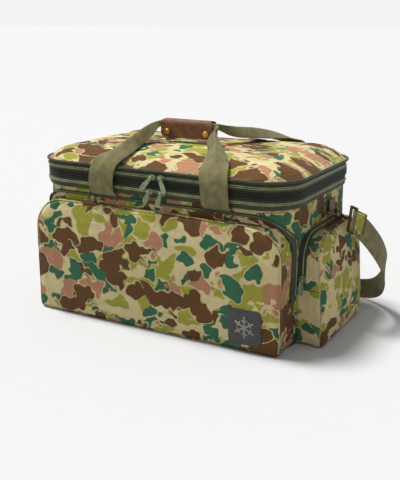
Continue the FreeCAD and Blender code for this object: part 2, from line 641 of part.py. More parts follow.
def make_strap():
    """The shoulder strap standing on its edge behind the bag, and its adjuster."""
    half = size("strap_web / 2")
    stations = []
    for i, point in enumerate(STRAP_ROUTE):
        before, after = STRAP_ROUTE[max(i - 1, 0)], STRAP_ROUTE[min(i + 1, len(STRAP_ROUTE) - 1)]
        along = Vector(*after) - Vector(*before)
        normal = Vector(along.y, -along.x, 0)
        normal.normalize()
        along.normalize()
        across = normal.cross(along)
        stations.append((point, tuple(across * half), tuple(normal)))
    feature("shoulder_strap", ribbon(stations, size("strap_thick")))
    frame = slab(58, 84, 177.8, 189.0, -0.2 + 0.5, 40.5)
    frame = frame.cut(Part.makeCompound([slab(50, 90, 179.8, 187.0, 0.9, 39.9),
                                         slab(61, 70, 170, 195, 2.5, 38.5), slab(73, 81, 170, 195, 2.5, 38.5)]))
    feature("strap_adjuster", frame)


# ---------------------------------------------------------------- build, check and write

def check(objects):
    """Stop if any object failed or any sub-part isn't a valid solid."""
    for item in doc.Objects:
        if "Invalid" in item.State or "Error" in item.State:
            raise RuntimeError(f"{item.Name} failed: {item.State}")
    for item in objects:
        if item.Shape.isNull() or not item.Shape.isValid() or not item.Shape.Solids:
            raise RuntimeError(f"{item.Label} has no valid solid")


make_body()
make_tray()
make_cover()
make_rim_zippers()
make_side_pockets(make_front_pocket())
make_handles()
make_wrap()
make_sliders()
make_ring_tabs()
make_hardware()
make_strap()
doc.recompute()
check(parts)
os.makedirs("parts", exist_ok=True)
for item in parts:
    item.Shape.exportStep(f"parts/{item.Label}.step")
    print(f"{item.Label}: {len(item.Shape.Solids)} solids, {item.Shape.Volume / 1000:.2f} cm3")
print(len(parts), "sub-parts")
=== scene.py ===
"""The looks of a padded cooler bag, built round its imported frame.

Every new piece is worked out with numpy in millimetres and put into its mesh in metres, in the
frame of the bag: +X to its right, +Y to its back, +Z up, and the floor at zero.
"""
import logging
import math
from dataclasses import dataclass, field
from enum import Enum
from typing import Sequence

import bpy
import numpy as np
from mathutils import Matrix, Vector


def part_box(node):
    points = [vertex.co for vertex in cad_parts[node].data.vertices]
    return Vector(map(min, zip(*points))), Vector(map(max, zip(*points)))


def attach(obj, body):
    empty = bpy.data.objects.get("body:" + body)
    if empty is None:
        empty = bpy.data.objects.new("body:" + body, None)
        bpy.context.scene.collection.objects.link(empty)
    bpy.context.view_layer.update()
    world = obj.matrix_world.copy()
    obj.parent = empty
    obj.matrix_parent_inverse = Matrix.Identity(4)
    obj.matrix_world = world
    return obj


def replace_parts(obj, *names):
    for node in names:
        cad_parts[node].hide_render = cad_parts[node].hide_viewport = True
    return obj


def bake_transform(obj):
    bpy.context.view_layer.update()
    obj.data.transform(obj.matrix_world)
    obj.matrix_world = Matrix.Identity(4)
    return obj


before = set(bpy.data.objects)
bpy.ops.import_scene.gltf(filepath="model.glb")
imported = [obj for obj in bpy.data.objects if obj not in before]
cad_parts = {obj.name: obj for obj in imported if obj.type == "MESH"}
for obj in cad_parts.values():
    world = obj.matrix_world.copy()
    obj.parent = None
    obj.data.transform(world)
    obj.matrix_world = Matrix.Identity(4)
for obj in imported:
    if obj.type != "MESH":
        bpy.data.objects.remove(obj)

log = logging.getLogger("cooler_bag")
Array = np.ndarray
Colour = tuple[float, float, float]
MM = 0.001


# ---------------------------------------------------------------- meshes from numpy

def put_mesh(name: str, points: Array, faces: list[Array], inside: Array | None = None) -> bpy.types.Object:
    """Makes an object from points in millimetres and blocks of faces.

    The faces are turned over together when the sum of their area vectors times their place,
    measured from a point inside, is below nothing.

    Args:
        name: The piece's name.
        points: The corners, one row each, in millimetres.
        faces: Blocks of corner numbers, one row for each face.
        inside: A point behind the surface; the middle of the points if left out.

    Returns:
        The new object, linked to the scene, with smooth faces.
    """
    middle = points.mean(0) if inside is None else np.asarray(inside, float)
    total = 0.0
    for block in faces:
        a, b, c = (points[block[:, k]] - middle for k in range(3))
        total += float((np.cross(b - a, c - a) * a).sum())
    turned = [block[:, ::-1] for block in faces] if total < 0 else faces
    mesh = bpy.data.meshes.new(name)
    mesh.from_pydata((points * MM).tolist(), [], [row for block in turned for row in block.tolist()])
    mesh.polygons.foreach_set("use_smooth", np.ones(len(mesh.polygons), bool))
    mesh.update()
    piece = bpy.data.objects.new(name, mesh)
    bpy.context.scene.collection.objects.link(piece)
    return piece


def grid_faces(rows: int, columns: int, wrap_rows: bool = False, wrap_columns: bool = False) -> Array:
    """Four-sided faces between neighbours on a grid of rows and columns.

    Args:
        rows: How many rows of points there are.
        columns: How many points a row has.
        wrap_rows: Whether the last row joins the first.
        wrap_columns: Whether each row's end joins its start.

    Returns:
        The corner numbers, one row for each face.
    """
    r = np.arange(rows if wrap_rows else rows - 1)[:, None]
    c = np.arange(columns if wrap_columns else columns - 1)[None, :]
    below, beside = (r + 1) % rows, (c + 1) % columns
    corners = (r * columns + c, r * columns + beside, below * columns + beside, below * columns + c)
    return np.stack([np.broadcast_to(k, (r.size, c.size)).ravel() for k in corners], 1)


def end_caps(rows: int, columns: int) -> list[Array]:
    """The first and the last row of a tube as two many-sided faces."""
    first = np.arange(columns)[None, ::-1]
    return [first, (rows - 1) * columns + np.arange(columns)[None, :]]


def carried(path: Array, across: Array, up: Array, profile: Array, swell: Array | None = None) -> Array:
    """A profile carried along a path: point = path + across * profile's first + up * its second.

    Args:
        path: The line, one point a row.
        across: The direction of the profile's first number at each point of the line.
        up: The direction of its second number.
        profile: The section's outline, two numbers a row.
        swell: A factor on the section at each point of the line.

    Returns:
        A grid of points, one row for each point of the line.
    """
    grown = profile[None] * (1.0 if swell is None else swell[:, None, None])
    return path[:, None] + across[:, None] * grown[..., :1] + up[:, None] * grown[..., 1:]


def tube_piece(name: str, grid: Array, closed: bool = False) -> bpy.types.Object:
    """A piece from a grid whose rows are closed sections, with its ends capped or joined.

    Args:
        name: The piece's name.
        grid: Rows of closed sections, in millimetres.
        closed: Whether the last section joins the first.

    Returns:
        The piece.
    """
    rows, columns = grid.shape[:2]
    faces = [grid_faces(rows, columns, closed, True)]
    if closed:
        place = grid.mean(1)
        a = grid - place[:, None]
        ahead = np.roll(place, -1, 0) - np.roll(place, 1, 0)
        turn = np.cross(a, np.roll(a, -1, 1)) * ahead[:, None]
        if turn.sum() > 0:
            faces = [faces[0][:, ::-1]]
        piece = put_mesh(name, grid.reshape(-1, 3), faces)
        if signed_volume(piece) < 0:
            piece.data.flip_normals()
        return piece
    return put_mesh(name, grid.reshape(-1, 3), faces + end_caps(rows, columns))


def signed_volume(piece: bpy.types.Object) -> float:
    """The volume that a closed mesh holds, below nothing if it is inside out.

    Args:
        piece: The piece to measure.

    Returns:
        The volume, in the mesh's own units.
    """
    mesh = piece.data
    mesh.calc_loop_triangles()
    points = np.empty(len(mesh.vertices) * 3)
    corners = np.empty(len(mesh.loop_triangles) * 3, np.int64)
    mesh.vertices.foreach_get("co", points)
    mesh.loop_triangles.foreach_get("vertices", corners)
    a, b, c = (points.reshape(-1, 3)[corners.reshape(-1, 3)[:, k]] for k in range(3))
    return float((a * np.cross(b, c)).sum() / 6)


def outward(piece: bpy.types.Object) -> bpy.types.Object:
    """Turns a closed mesh's faces over if it is inside out.

    Args:
        piece: The piece to turn, changed in place.

    Returns:
        The same piece.
    """
    if signed_volume(piece) < 0:
        piece.data.flip_normals()
    return piece


def corners_of(piece: bpy.types.Object) -> Array:
    """A mesh's points in millimetres.

    Args:
        piece: The piece to read.

    Returns:
        One row for each point.
    """
    points = np.empty(len(piece.data.vertices) * 3)
    piece.data.vertices.foreach_get("co", points)
    return points.reshape(-1, 3) / MM


def set_corners(piece: bpy.types.Object, points: Array) -> None:
    """Puts points in millimetres back into a mesh."""
    piece.data.vertices.foreach_set("co", (points * MM).astype(np.float32).ravel())
    piece.data.update()


def tag(piece: bpy.types.Object, name: str, values: Array) -> None:
    """Gives each point of a mesh three numbers that its material reads, in metres."""
    layer = piece.data.attributes.new(name, "FLOAT_VECTOR", "POINT")
    layer.data.foreach_set("vector", (values * MM).astype(np.float32).ravel())


def smooth_line(stations: Array, count: int) -> Array:
    """A smooth line through stations: between two, a cubic whose slopes are set by their neighbours.

    Args:
        stations: The points to pass, one a row, of any number of columns; the first three are a place.
        count: How many points to return.

    Returns:
        Points evenly spaced by the length of the straight runs.
    """
    place = stations[:, :3]
    run = np.concatenate([[0], np.cumsum(np.linalg.norm(np.diff(place, axis=0), axis=1))])
    slope = np.gradient(stations, run, axis=0)
    want = np.linspace(0, run[-1], count)
    k = np.clip(np.searchsorted(run, want) - 1, 0, len(run) - 2)
    span = (run[k + 1] - run[k])[:, None]
    t = (want - run[k])[:, None] / span
    return ((2 * t**3 - 3 * t**2 + 1) * stations[k] + (t**3 - 2 * t**2 + t) * span * slope[k]
            + (3 * t**2 - 2 * t**3) * stations[k + 1] + (t**3 - t**2) * span * slope[k + 1])


def unit(vectors: Array) -> Array:
    """Vectors brought to length one."""
    return vectors / np.maximum(np.linalg.norm(vectors, axis=-1, keepdims=True), 1e-9)


def ripple(points: Array, size: float, shift: float) -> Array:
    """A soft unevenness from -1 to 1: the mean of three products of slow waves of unlike length.

    Args:
        points: Where it is read.
        size: About how long the waves are.
        shift: Moves the waves, so that pieces differ.

    Returns:
        One value for each point.
    """
    x, y, z = (points[..., k] / size for k in range(3))
    first = np.sin(x * 1.0 + shift) * np.sin(z * 1.3 + 0.7 * shift + y)
    second = np.sin(x * 2.1 - z * 1.1 + 1.9 * shift) * np.cos(y * 1.7 + z * 0.6)
    third = np.sin(x * 0.7 + y * 2.3 - z * 2.9 + 2.3 * shift)
    return (first + 0.7 * second + 0.5 * third) / 2.2


# ---------------------------------------------------------------- outlines

@dataclass(frozen=True)
class Plan:
    """The bag's outline seen from above: a rounded rectangle, walked anticlockwise."""

    half_x: float = 250.0
    half_y: float = 165.0
    corner: float = 68.0
    step: float = 5.0

    def loop(self, inset: float = 0.0, step: float | None = None) -> tuple[Array, Array]:
        """Points and outward directions: straight sides, and quarter circles of the corner's radius.

        Args:
            inset: How far inside the full outline the loop runs.
            step: The spacing of the points.

        Returns:
            Two arrays of one row for each point, flat at height nothing.
        """
        pace = step or self.step
        straight_x, straight_y = self.half_x - self.corner, self.half_y - self.corner
        bend = max(6, int(self.corner * math.pi / 2 / pace))
        centres, turns = [], []
        sides = ((1, -1, -90), (1, 1, 0), (-1, 1, 90), (-1, -1, 180))
        for sx, sy, start in sides:
            angle = np.radians(start + np.linspace(0, 90, bend + 1))
            centre = np.array([sx * straight_x, sy * straight_y])
            centres.append(np.broadcast_to(centre, (bend + 1, 2)))
            turns.append(angle)
            ahead = np.array([-math.sin(angle[-1]), math.cos(angle[-1])])
            length = 2 * (straight_y if abs(ahead[1]) > 0.5 else straight_x)
            count = max(2, int(length / pace))
            along = np.linspace(0, length, count + 1)[1:-1, None]
            centres.append(centre + along * ahead)
            turns.append(np.full(count - 1, angle[-1]))
        angle = np.concatenate(turns)
        out = np.stack([np.cos(angle), np.sin(angle), np.zeros_like(angle)], 1)
        base = np.concatenate(centres)
        place = np.stack([base[:, 0], base[:, 1], np.zeros(len(base))], 1) + out * (self.corner - inset)
        return place, out

    def three_sides(self, inset: float, end: float, step: float) -> tuple[Array, Array]:
        """The part of the loop in front of a depth, as one open run from the right end to the left.

        Args:
            inset: How far inside the full outline the run lies.
            end: The depth behind which it is left out.
            step: The spacing of the points.

        Returns:
            The run's points, and the outward direction at each.
        """
        place, out = self.loop(inset, step)
        keep = place[:, 1] < end
        start = int(np.argmax(keep & ~np.roll(keep, 1)))
        order = np.roll(np.arange(len(place)), -start)
        order = order[keep[order]]
        return place[order][::-1], out[order][::-1]


PLAN = Plan()


@dataclass(frozen=True)
class RoundedPanel:
    """A rounded rectangle as a grid of rows up it and columns across it."""

    half: float
    high: float
    low_round: float
    top_round: float
    step: float = 6.0

    def heights(self) -> Array:
        """Row heights: even on the straight part, and by equal turns of a circle in the corners.

        Returns:
            The heights, one for each row.
        """
        turn = np.linspace(0, math.pi / 2, 9)
        low = self.low_round * (1 - np.cos(turn))
        top = self.high - self.top_round * (1 - np.sin(turn))
        count = int((self.high - self.low_round - self.top_round) / self.step) + 2
        middle = np.linspace(self.low_round, self.high - self.top_round, count)[1:-1]
        return np.concatenate([low, middle, top])

    def widths(self, high: Array) -> Array:
        """Half the width at each height: less by what the corner's circle leaves out.

        Args:
            high: Heights up the panel.

        Returns:
            One half width for each height.
        """
        below = np.clip(self.low_round - high, 0, self.low_round)
        above = np.clip(high - self.high + self.top_round, 0, self.top_round)
        lost = self.low_round - np.sqrt(self.low_round**2 - below**2)
        return self.half - lost - (self.top_round - np.sqrt(self.top_round**2 - above**2))

    def grid(self) -> Array:
        """Places across and up, for every row and column.

        Returns:
            The places, row by row.
        """
        high = self.heights()
        across = np.linspace(-1, 1, int(2 * self.half / self.step) | 1)
        return np.stack(
            [self.widths(high)[:, None] * across, np.broadcast_to(high[:, None], (len(high), len(across)))], 2
        )

    def edge(self) -> tuple[Array, Array]:
        """The corner numbers round the grid, anticlockwise, and the outward direction at each.

        Returns:
            The numbers and the directions, in the same order.
        """
        rows, columns = self.grid().shape[:2]
        high = self.heights()
        below = np.clip((self.low_round - high) / max(self.low_round, 1e-6), 0, 1)
        above = np.clip((high - self.high + self.top_round) / max(self.top_round, 1e-6), 0, 1)
        rise = above - below
        side = np.stack([np.sqrt(np.clip(1 - rise**2, 0, 1)), rise], 1)
        inner = np.arange(1, rows - 1)
        numbers = np.concatenate([np.arange(columns), inner * columns + columns - 1,
                                  (rows - 1) * columns + np.arange(columns)[::-1], inner[::-1] * columns])
        flat = np.tile([[0.0, 1.0]], (columns, 1))
        out = np.concatenate([-flat, side[1:-1], flat, side[1:-1][::-1] * [-1, 1]])
        return numbers, out


# ---------------------------------------------------------------- shader wiring

def linear(red: int, green: int, blue: int) -> Colour:
    """A display colour of 0 to 255 as the linear light that shaders use."""
    parts = (c / 255 for c in (red, green, blue))
    return tuple(c / 12.92 if c <= 0.04045 else ((c + 0.055) / 1.055) ** 2.4 for c in parts)


class Place(Enum):
    """Where a pattern reads its place from."""

    OBJECT = "object"
    CLOTH = "cloth_place"
    WEAVE = "weave_place"


class Bench:
    """Wires the nodes of one material."""

    def __init__(self, name: str) -> None:
        """Starts an empty material with its shader and output.

        Args:
            name: The material's name.
        """
        self.material = bpy.data.materials.new(name)
        self.material.use_nodes = True
        self.tree = self.material.node_tree
        self.tree.nodes.clear()
        self.shader = self.node("ShaderNodeBsdfPrincipled")
        output = self.node("ShaderNodeOutputMaterial")
        self.tree.links.new(self.shader.outputs[0], output.inputs[0])

    def node(self, kind: str, **settings: object) -> bpy.types.Node:
        """Adds a node and sets its options.

        Args:
            kind: The node's type.
            **settings: Its options.

        Returns:
            The node.
        """
        made = self.tree.nodes.new(kind)
        for key, value in settings.items():
            setattr(made, key, value)
        return made

    def feed(self, value: object, socket: bpy.types.NodeSocket) -> None:
        """Links a socket, or sets a number, a colour or a vector.

        Args:
            value: A socket, a number, a colour or a vector.
            socket: The input that takes it.
        """
        if isinstance(value, bpy.types.NodeSocket):
            self.tree.links.new(value, socket)
        elif isinstance(value, tuple) and len(value) == 3 and socket.type == "RGBA":
            socket.default_value = (*value, 1.0)
        else:
            socket.default_value = value

    def sums(self, operation: str, *values: object, clamp: bool = False) -> bpy.types.NodeSocket:
        """One step of arithmetic.

        Args:
            operation: What the step does.
            *values: What it works on, in order.
            clamp: Whether the result stays between 0 and 1.

        Returns:
            The result's socket.
        """
        made = self.node("ShaderNodeMath", operation=operation, use_clamp=clamp)
        for value, socket in zip(values, made.inputs):
            self.feed(value, socket)
        return made.outputs[0]

    def vectors(self, operation: str, *values: object, scale: float | None = None) -> bpy.types.NodeSocket:
        """One step of vector arithmetic.

        Args:
            operation: What the step does.
            *values: What it works on, in order.
            scale: The factor, where the step takes one.

        Returns:
            The result's socket.
        """
        made = self.node("ShaderNodeVectorMath", operation=operation)
        for value, socket in zip(values, made.inputs):
            self.feed(value, socket)
        if scale is not None:
            made.inputs["Scale"].default_value = scale
        return made.outputs[0]

    def place(self, kind: Place) -> bpy.types.NodeSocket:
        """The place that patterns are read at, in metres.

        Args:
            kind: Which place to read.

        Returns:
            The place's socket.
        """
        if kind is Place.OBJECT:
            return self.node("ShaderNodeTexCoord").outputs["Object"]
        return self.node("ShaderNodeAttribute", attribute_name=kind.value).outputs["Vector"]

    def noise(
        self, where: object, size: float, detail: float = 2.0, colour: bool = False
    ) -> bpy.types.NodeSocket:
        """Cloudy noise whose lumps are about as large as size, in metres.

        Args:
            where: The place it is read at.
            size: The size of its lumps.
            detail: How much finer noise is added.
            colour: Whether the coloured output is wanted.

        Returns:
            The noise's socket.
        """
        made = self.node("ShaderNodeTexNoise")
        self.feed(where, made.inputs["Vector"])
        made.inputs["Scale"].default_value = 1.0 / size
        made.inputs["Detail"].default_value = detail
        return made.outputs["Color" if colour else "Fac"]

    def mix(self, share: object, low: object, high: object) -> bpy.types.NodeSocket:
        """A colour between two, by a share from 0 to 1.

        Args:
            share: How much of the second colour is taken.
            low: The first colour.
            high: The second colour.

        Returns:
            The colour's socket.
        """
        made = self.node("ShaderNodeMix", data_type="RGBA")
        for value, number in ((share, 0), (low, 6), (high, 7)):
            self.feed(value, made.inputs[number])
        return made.outputs[2]

    def threads(self, where: object, pitch: float, axis: str) -> bpy.types.NodeSocket:
        """Even ridges across an axis, one every pitch metres, from 0 to 1.

        Args:
            where: The place they are read at.
            pitch: The distance from ridge to ridge.
            axis: The axis they are counted along.

        Returns:
            The ridges' socket.
        """
        made = self.node("ShaderNodeTexWave", wave_type="BANDS", bands_direction=axis)
        self.feed(where, made.inputs["Vector"])
        made.inputs["Scale"].default_value = 2 * math.pi / (20 * pitch)
        made.inputs["Distortion"].default_value = 0.0
        return made.outputs["Fac"]

    def skin(self, colour: object, rough: object, height: object = None, depth: float = 0.0005,
             **fixed: float) -> bpy.types.Material:
        """Ends the material with its colour, roughness, raised pattern and fixed sockets.

        Args:
            colour: A colour or a socket.
            rough: A number or a socket.
            height: The raised pattern, from 0 to 1.
            depth: How high the pattern stands, in metres.
            fixed: Values for the shader's own sockets, spaces written as underscores.

        Returns:
            The material.
        """
        self.feed(colour, self.shader.inputs["Base Color"])
        self.feed(rough, self.shader.inputs["Roughness"])
        if height is not None:
            bump = self.node("ShaderNodeBump")
            bump.inputs["Distance"].default_value = depth
            bump.inputs["Strength"].default_value = 1.0
            self.feed(height, bump.inputs["Height"])
            self.tree.links.new(bump.outputs[0], self.shader.inputs["Normal"])
        for key, value in fixed.items():
            self.shader.inputs[key.replace("_", " ")].default_value = value
        return self.material


class Finish:
    """A finish whose material is made once, at its first use."""

    made: dict[str, bpy.types.Material] = {}

    def build(self) -> bpy.types.Material:
        """Makes the material; each finish has its own way."""
        raise NotImplementedError

    def material(self) -> bpy.types.Material:
        """The finish's material.

        Returns:
            The material.
        """
        if self.name not in Finish.made:
            Finish.made[self.name] = self.build()
        return Finish.made[self.name]

    def dress(self, piece: bpy.types.Object) -> bpy.types.Object:
        """Gives the piece this finish.

        Args:
            piece: The piece to dress, changed in place.

        Returns:
            The same piece.
        """
        piece.data.materials.clear()
        piece.data.materials.append(self.material())
        return piece


@dataclass(frozen=True)
class Patch:
    """One printed colour of the canvas: rounded islands of about one size."""

    colour: Colour
    wide: float
    tall: float
    share: float
    reach: float
    seed: float


@dataclass(frozen=True)
class PrintedCanvas(Finish):
    """Cotton canvas printed with islands of four colours on sand, each with a thin sand rim."""

    name: str = "printed_canvas"
    slot: str = "camo_canvas"
    sand: Colour = linear(200, 185, 138)
    patches: tuple[Patch, ...] = (
        Patch(linear(150, 148, 58), 0.046, 0.029, 0.72, 0.41, 11.0),
        Patch(linear(56, 100, 74), 0.040, 0.027, 0.52, 0.36, 22.0),
        Patch(linear(172, 124, 94), 0.044, 0.030, 0.36, 0.36, 33.0),
        Patch(linear(96, 66, 38), 0.054, 0.035, 0.52, 0.38, 44.0),
    )
    thread: float = 0.0011

    def build(self) -> bpy.types.Material:
        """Islands are cells nearer to their seed than a reach of their own, in a place that noise bends.

        Returns:
            The material.
        """
        bench = Bench(self.name)
        where = bench.place(Place.CLOTH)
        bend = bench.vectors(
            "SCALE", bench.vectors("SUBTRACT", bench.noise(where, 0.030, 0.6, True), (0.5,) * 3), scale=0.038
        )
        lobes = bench.vectors(
            "SCALE", bench.vectors("SUBTRACT", bench.noise(where, 0.013, 0.0, True), (0.5,) * 3), scale=0.013
        )
        bent = bench.vectors("ADD", bench.vectors("ADD", where, bend), lobes)
        colour: object = self.sand
        for patch in self.patches:
            spot = bench.node("ShaderNodeMapping")
            bench.feed(bent, spot.inputs["Vector"])
            spot.inputs["Scale"].default_value = (1 / patch.wide, 1 / patch.wide, 1 / patch.tall)
            spot.inputs["Location"].default_value = (patch.seed * 1.7, patch.seed * 2.3, patch.seed * 0.9)
            cells = bench.node("ShaderNodeTexVoronoi", feature="F1")
            bench.feed(spot.outputs[0], cells.inputs["Vector"])
            cells.inputs["Scale"].default_value = 1.0
            cells.inputs["Randomness"].default_value = 0.95
            parts = bench.node("ShaderNodeSeparateColor")
            bench.feed(cells.outputs["Color"], parts.inputs[0])
            reach = bench.sums("MULTIPLY_ADD", parts.outputs[1], 0.3, patch.reach)
            absent = bench.sums("GREATER_THAN", parts.outputs[0], patch.share)
            depth = bench.sums("SUBTRACT", bench.sums("SUBTRACT", reach, cells.outputs["Distance"]), absent)
            inner = bench.sums("MULTIPLY_ADD", depth, 30.0, 0.5, clamp=True)
            rim = bench.sums(
                "MULTIPLY_ADD", bench.sums("ADD", depth, 0.0024 / patch.wide), 30.0, 0.5, clamp=True
            )
            colour = bench.mix(inner, bench.mix(rim, colour, self.sand), patch.colour)
        warp = bench.threads(where, self.thread, "X")
        weft = bench.threads(where, self.thread, "Z")
        deep = bench.threads(where, self.thread, "Y")
        weave = bench.sums("MAXIMUM", bench.sums("MULTIPLY", warp, weft), bench.sums("MULTIPLY", deep, weft))
        slub = bench.noise(bench.vectors("MULTIPLY", where, (1.0, 1.0, 0.25)), 0.0016, 2.0)
        cloud = bench.noise(where, 0.012, 3.0)
        tone = bench.sums(
            "MULTIPLY_ADD", weave, 0.26,
            bench.sums("MULTIPLY_ADD", slub, 0.42, bench.sums("MULTIPLY", cloud, 0.22))
        )
        shade = bench.sums("ADD", tone, 0.50)
        tinted = bench.vectors("SCALE", colour)
        bench.feed(shade, tinted.node.inputs["Scale"])
        height = bench.sums("ADD", bench.sums("MULTIPLY", weave, 0.6), bench.sums("MULTIPLY", slub, 0.4))
        return bench.skin(
            tinted, 0.86, height, 0.00035, Sheen_Weight=0.05, Sheen_Roughness=0.5, Specular_IOR_Level=0.12
        )


@dataclass(frozen=True)
class WovenBand(Finish):
    """Webbing or tape: ribs across its run, and lengthways yarns."""

    name: str
    slot: str
    colour: Colour
    light: Colour
    kind: Place = Place.WEAVE
    rib: float = 0.0018
    yarn: float = 0.0026
    depth: float = 0.0004

    def build(self) -> bpy.types.Material:
        """Ribs times yarns, with cloudy wear that lightens the high threads.

        Returns:
            The material.
        """
        bench = Bench(self.name)
        where = bench.place(self.kind)
        ribs = bench.threads(where, self.rib, "X")
        yarns = bench.threads(where, self.yarn, "Z" if self.kind is Place.OBJECT else "Y")
        weave = bench.sums("MULTIPLY_ADD", ribs, 0.6, bench.sums("MULTIPLY", yarns, 0.4))
        fuzz = bench.noise(where, 0.0012, 3.0)
        cloud = bench.noise(where, 0.018, 3.0)
        share = bench.sums(
            "MULTIPLY_ADD", weave, 0.45, bench.sums("MULTIPLY_ADD", cloud, 0.9, -0.3), clamp=True
        )
        colour = bench.mix(share, self.colour, self.light)
        height = bench.sums("MULTIPLY_ADD", fuzz, 0.3, bench.sums("MULTIPLY", weave, 0.7))
        return bench.skin(
            colour, 0.8, height, self.depth, Sheen_Weight=0.15, Sheen_Roughness=0.4, Specular_IOR_Level=0.3
        )


@dataclass(frozen=True)
class Leather(Finish):
    """Brown pull-up leather: pebbled grain, and cloudy patches of dark and warm brown."""

    name: str = "brown_leather"
    slot: str = "brown_leather"
    dark: Colour = linear(74, 45, 22)
    warm: Colour = linear(142, 90, 48)

    def build(self) -> bpy.types.Material:
        """Cells make the grain; two sizes of cloud mix the dark and the warm brown.

        Returns:
            The material.
        """
        bench = Bench(self.name)
        where = bench.place(Place.OBJECT)
        cells = bench.node("ShaderNodeTexVoronoi", feature="DISTANCE_TO_EDGE")
        bench.feed(where, cells.inputs["Vector"])
        cells.inputs["Scale"].default_value = 900.0
        crease = bench.sums("MULTIPLY", cells.outputs["Distance"], 2.2, clamp=True)
        patches = bench.noise(where, 0.016, 4.0)
        fine = bench.noise(where, 0.003, 3.0)
        share = bench.sums(
            "MULTIPLY_ADD", patches, 1.5, bench.sums("MULTIPLY_ADD", fine, 0.5, -0.6), clamp=True
        )
        colour = bench.mix(share, self.dark, self.warm)
        rough = bench.sums("MULTIPLY_ADD", fine, 0.3, 0.38)
        height = bench.sums("MULTIPLY_ADD", patches, 0.6, bench.sums("MULTIPLY", crease, 0.4))
        return bench.skin(colour, rough, height, 0.0006, Specular_IOR_Level=0.45)


@dataclass(frozen=True)
class Metal(Finish):
    """Cast metal, bare or painted, with dull patches where a cloud mixes in a second colour."""

    name: str
    slot: str
    colour: Colour
    worn: Colour
    metallic: float
    smooth: float
    wear: float = 0.5

    def build(self) -> bpy.types.Material:
        """Cloudy tarnish mixes two colours and roughens; fine noise pits the face.

        Returns:
            The material.
        """
        bench = Bench(self.name)
        where = bench.place(Place.OBJECT)
        cloud = bench.noise(where, 0.004, 4.0)
        pits = bench.noise(where, 0.0008, 3.0)
        share = bench.sums("MULTIPLY_ADD", cloud, 3.0, -3.0 * (1 - self.wear), clamp=True)
        colour = bench.mix(share, self.colour, self.worn)
        rough = bench.sums("MULTIPLY_ADD", cloud, 0.3, self.smooth)
        return bench.skin(colour, rough, pits, 0.00008, Metallic=self.metallic)


@dataclass(frozen=True)
class Sheeting(Finish):
    """Plain goods such as lining foil, board, foam, plastic and thread, each with a fine grain."""

    name: str
    slot: str
    colour: Colour
    light: Colour
    rough: float
    grain: float
    depth: float
    metallic: float = 0.0

    def build(self) -> bpy.types.Material:
        """Noise of one grain raises the face, and a slower one mixes the colours.

        Returns:
            The material.
        """
        bench = Bench(self.name)
        where = bench.place(Place.OBJECT)
        grain = bench.noise(where, self.grain, 3.0)
        cloud = bench.noise(where, self.grain * 9, 3.0)
        colour = bench.mix(bench.sums("MULTIPLY_ADD", cloud, 1.6, -0.3, clamp=True), self.colour, self.light)
        rough = bench.sums("MULTIPLY_ADD", grain, 0.25, self.rough - 0.12, clamp=True)
        return bench.skin(colour, rough, grain, self.depth, Metallic=self.metallic)


CANVAS = PrintedCanvas()
WEBBING = WovenBand(
    "olive_webbing", "olive_webbing", linear(66, 62, 36), linear(150, 143, 94), rib=0.0026, depth=0.0009
)
TAB_WEBBING = WovenBand("tab_webbing", "olive_webbing", linear(74, 71, 46), linear(118, 113, 76), Place.OBJECT)
TAPE = WovenBand(
    "zipper_tape", "olive_tape", linear(38, 41, 27), linear(74, 78, 50), Place.OBJECT, 0.0014, 0.0016, 0.0003
)
# The coil's paler second colour, mixed in by cloud, is raised above the nylon's own olive as a painted highlight along
# the coil lines.
COIL_WITH_PAINTED_HIGHLIGHT = Sheeting("zipper_coil_with_painted_highlight", "olive_tape", linear(96, 104, 70), linear(160, 168, 122), 0.34, 0.0012, 0.0001)
# The tray cloth is a dark olive cloth, and its colours are darkened further as painted shade for the recessed band
# between the zippers.
TRAY_CLOTH_WITH_PAINTED_SHADE = WovenBand(
    "tray_cloth_with_painted_shade", "olive_tape", linear(22, 24, 17), linear(48, 51, 35), Place.OBJECT, 0.0016, 0.0016, 0.0002
)
LINING = Sheeting("tray_lining", "tray_lining", linear(60, 63, 48), linear(84, 88, 66), 0.75, 0.0015, 0.0002)
FOIL = Sheeting(
    "foil_liner", "foil_liner", linear(150, 153, 155), linear(196, 198, 200), 0.34, 0.004, 0.0008, 0.75
)
FOAM = Sheeting("foam", "foam", linear(206, 204, 196), linear(228, 226, 220), 0.9, 0.0012, 0.0004)
BOARD = Sheeting("base_board", "base_board", linear(34, 36, 30), linear(52, 54, 44), 0.6, 0.002, 0.0003)
PLASTIC = Sheeting("dark_plastic", "dark_plastic", linear(26, 27, 24), linear(40, 41, 36), 0.42, 0.0009, 0.0001)
VINYL = Sheeting("badge_vinyl", "badge_vinyl", linear(44, 44, 43), linear(62, 61, 58), 0.55, 0.0012, 0.00015)
FLAKE = Sheeting(
    "badge_flake", "badge_vinyl", linear(112, 112, 104), linear(140, 140, 130), 0.6, 0.0012, 0.0001
)
THREAD = Sheeting("seam_thread", "camo_canvas", linear(112, 102, 68), linear(150, 138, 98), 0.8, 0.0008, 0.0001)
DARK_THREAD = Sheeting("dark_thread", "olive_tape", linear(50, 52, 36), linear(74, 76, 52), 0.8, 0.0008, 0.0001)
LEATHER = Leather()
BRASS = Metal("aged_brass", "aged_brass", linear(190, 150, 74), linear(104, 78, 38), 1.0, 0.22, 0.5)
DULL_BRASS = Metal("dull_brass", "aged_brass", linear(132, 116, 78), linear(74, 64, 44), 1.0, 0.32, 0.5)
PAINT = Metal("green_paint", "green_metal", linear(112, 126, 92), linear(176, 186, 146), 0.1, 0.34, 0.5)


# ---------------------------------------------------------------- cloth

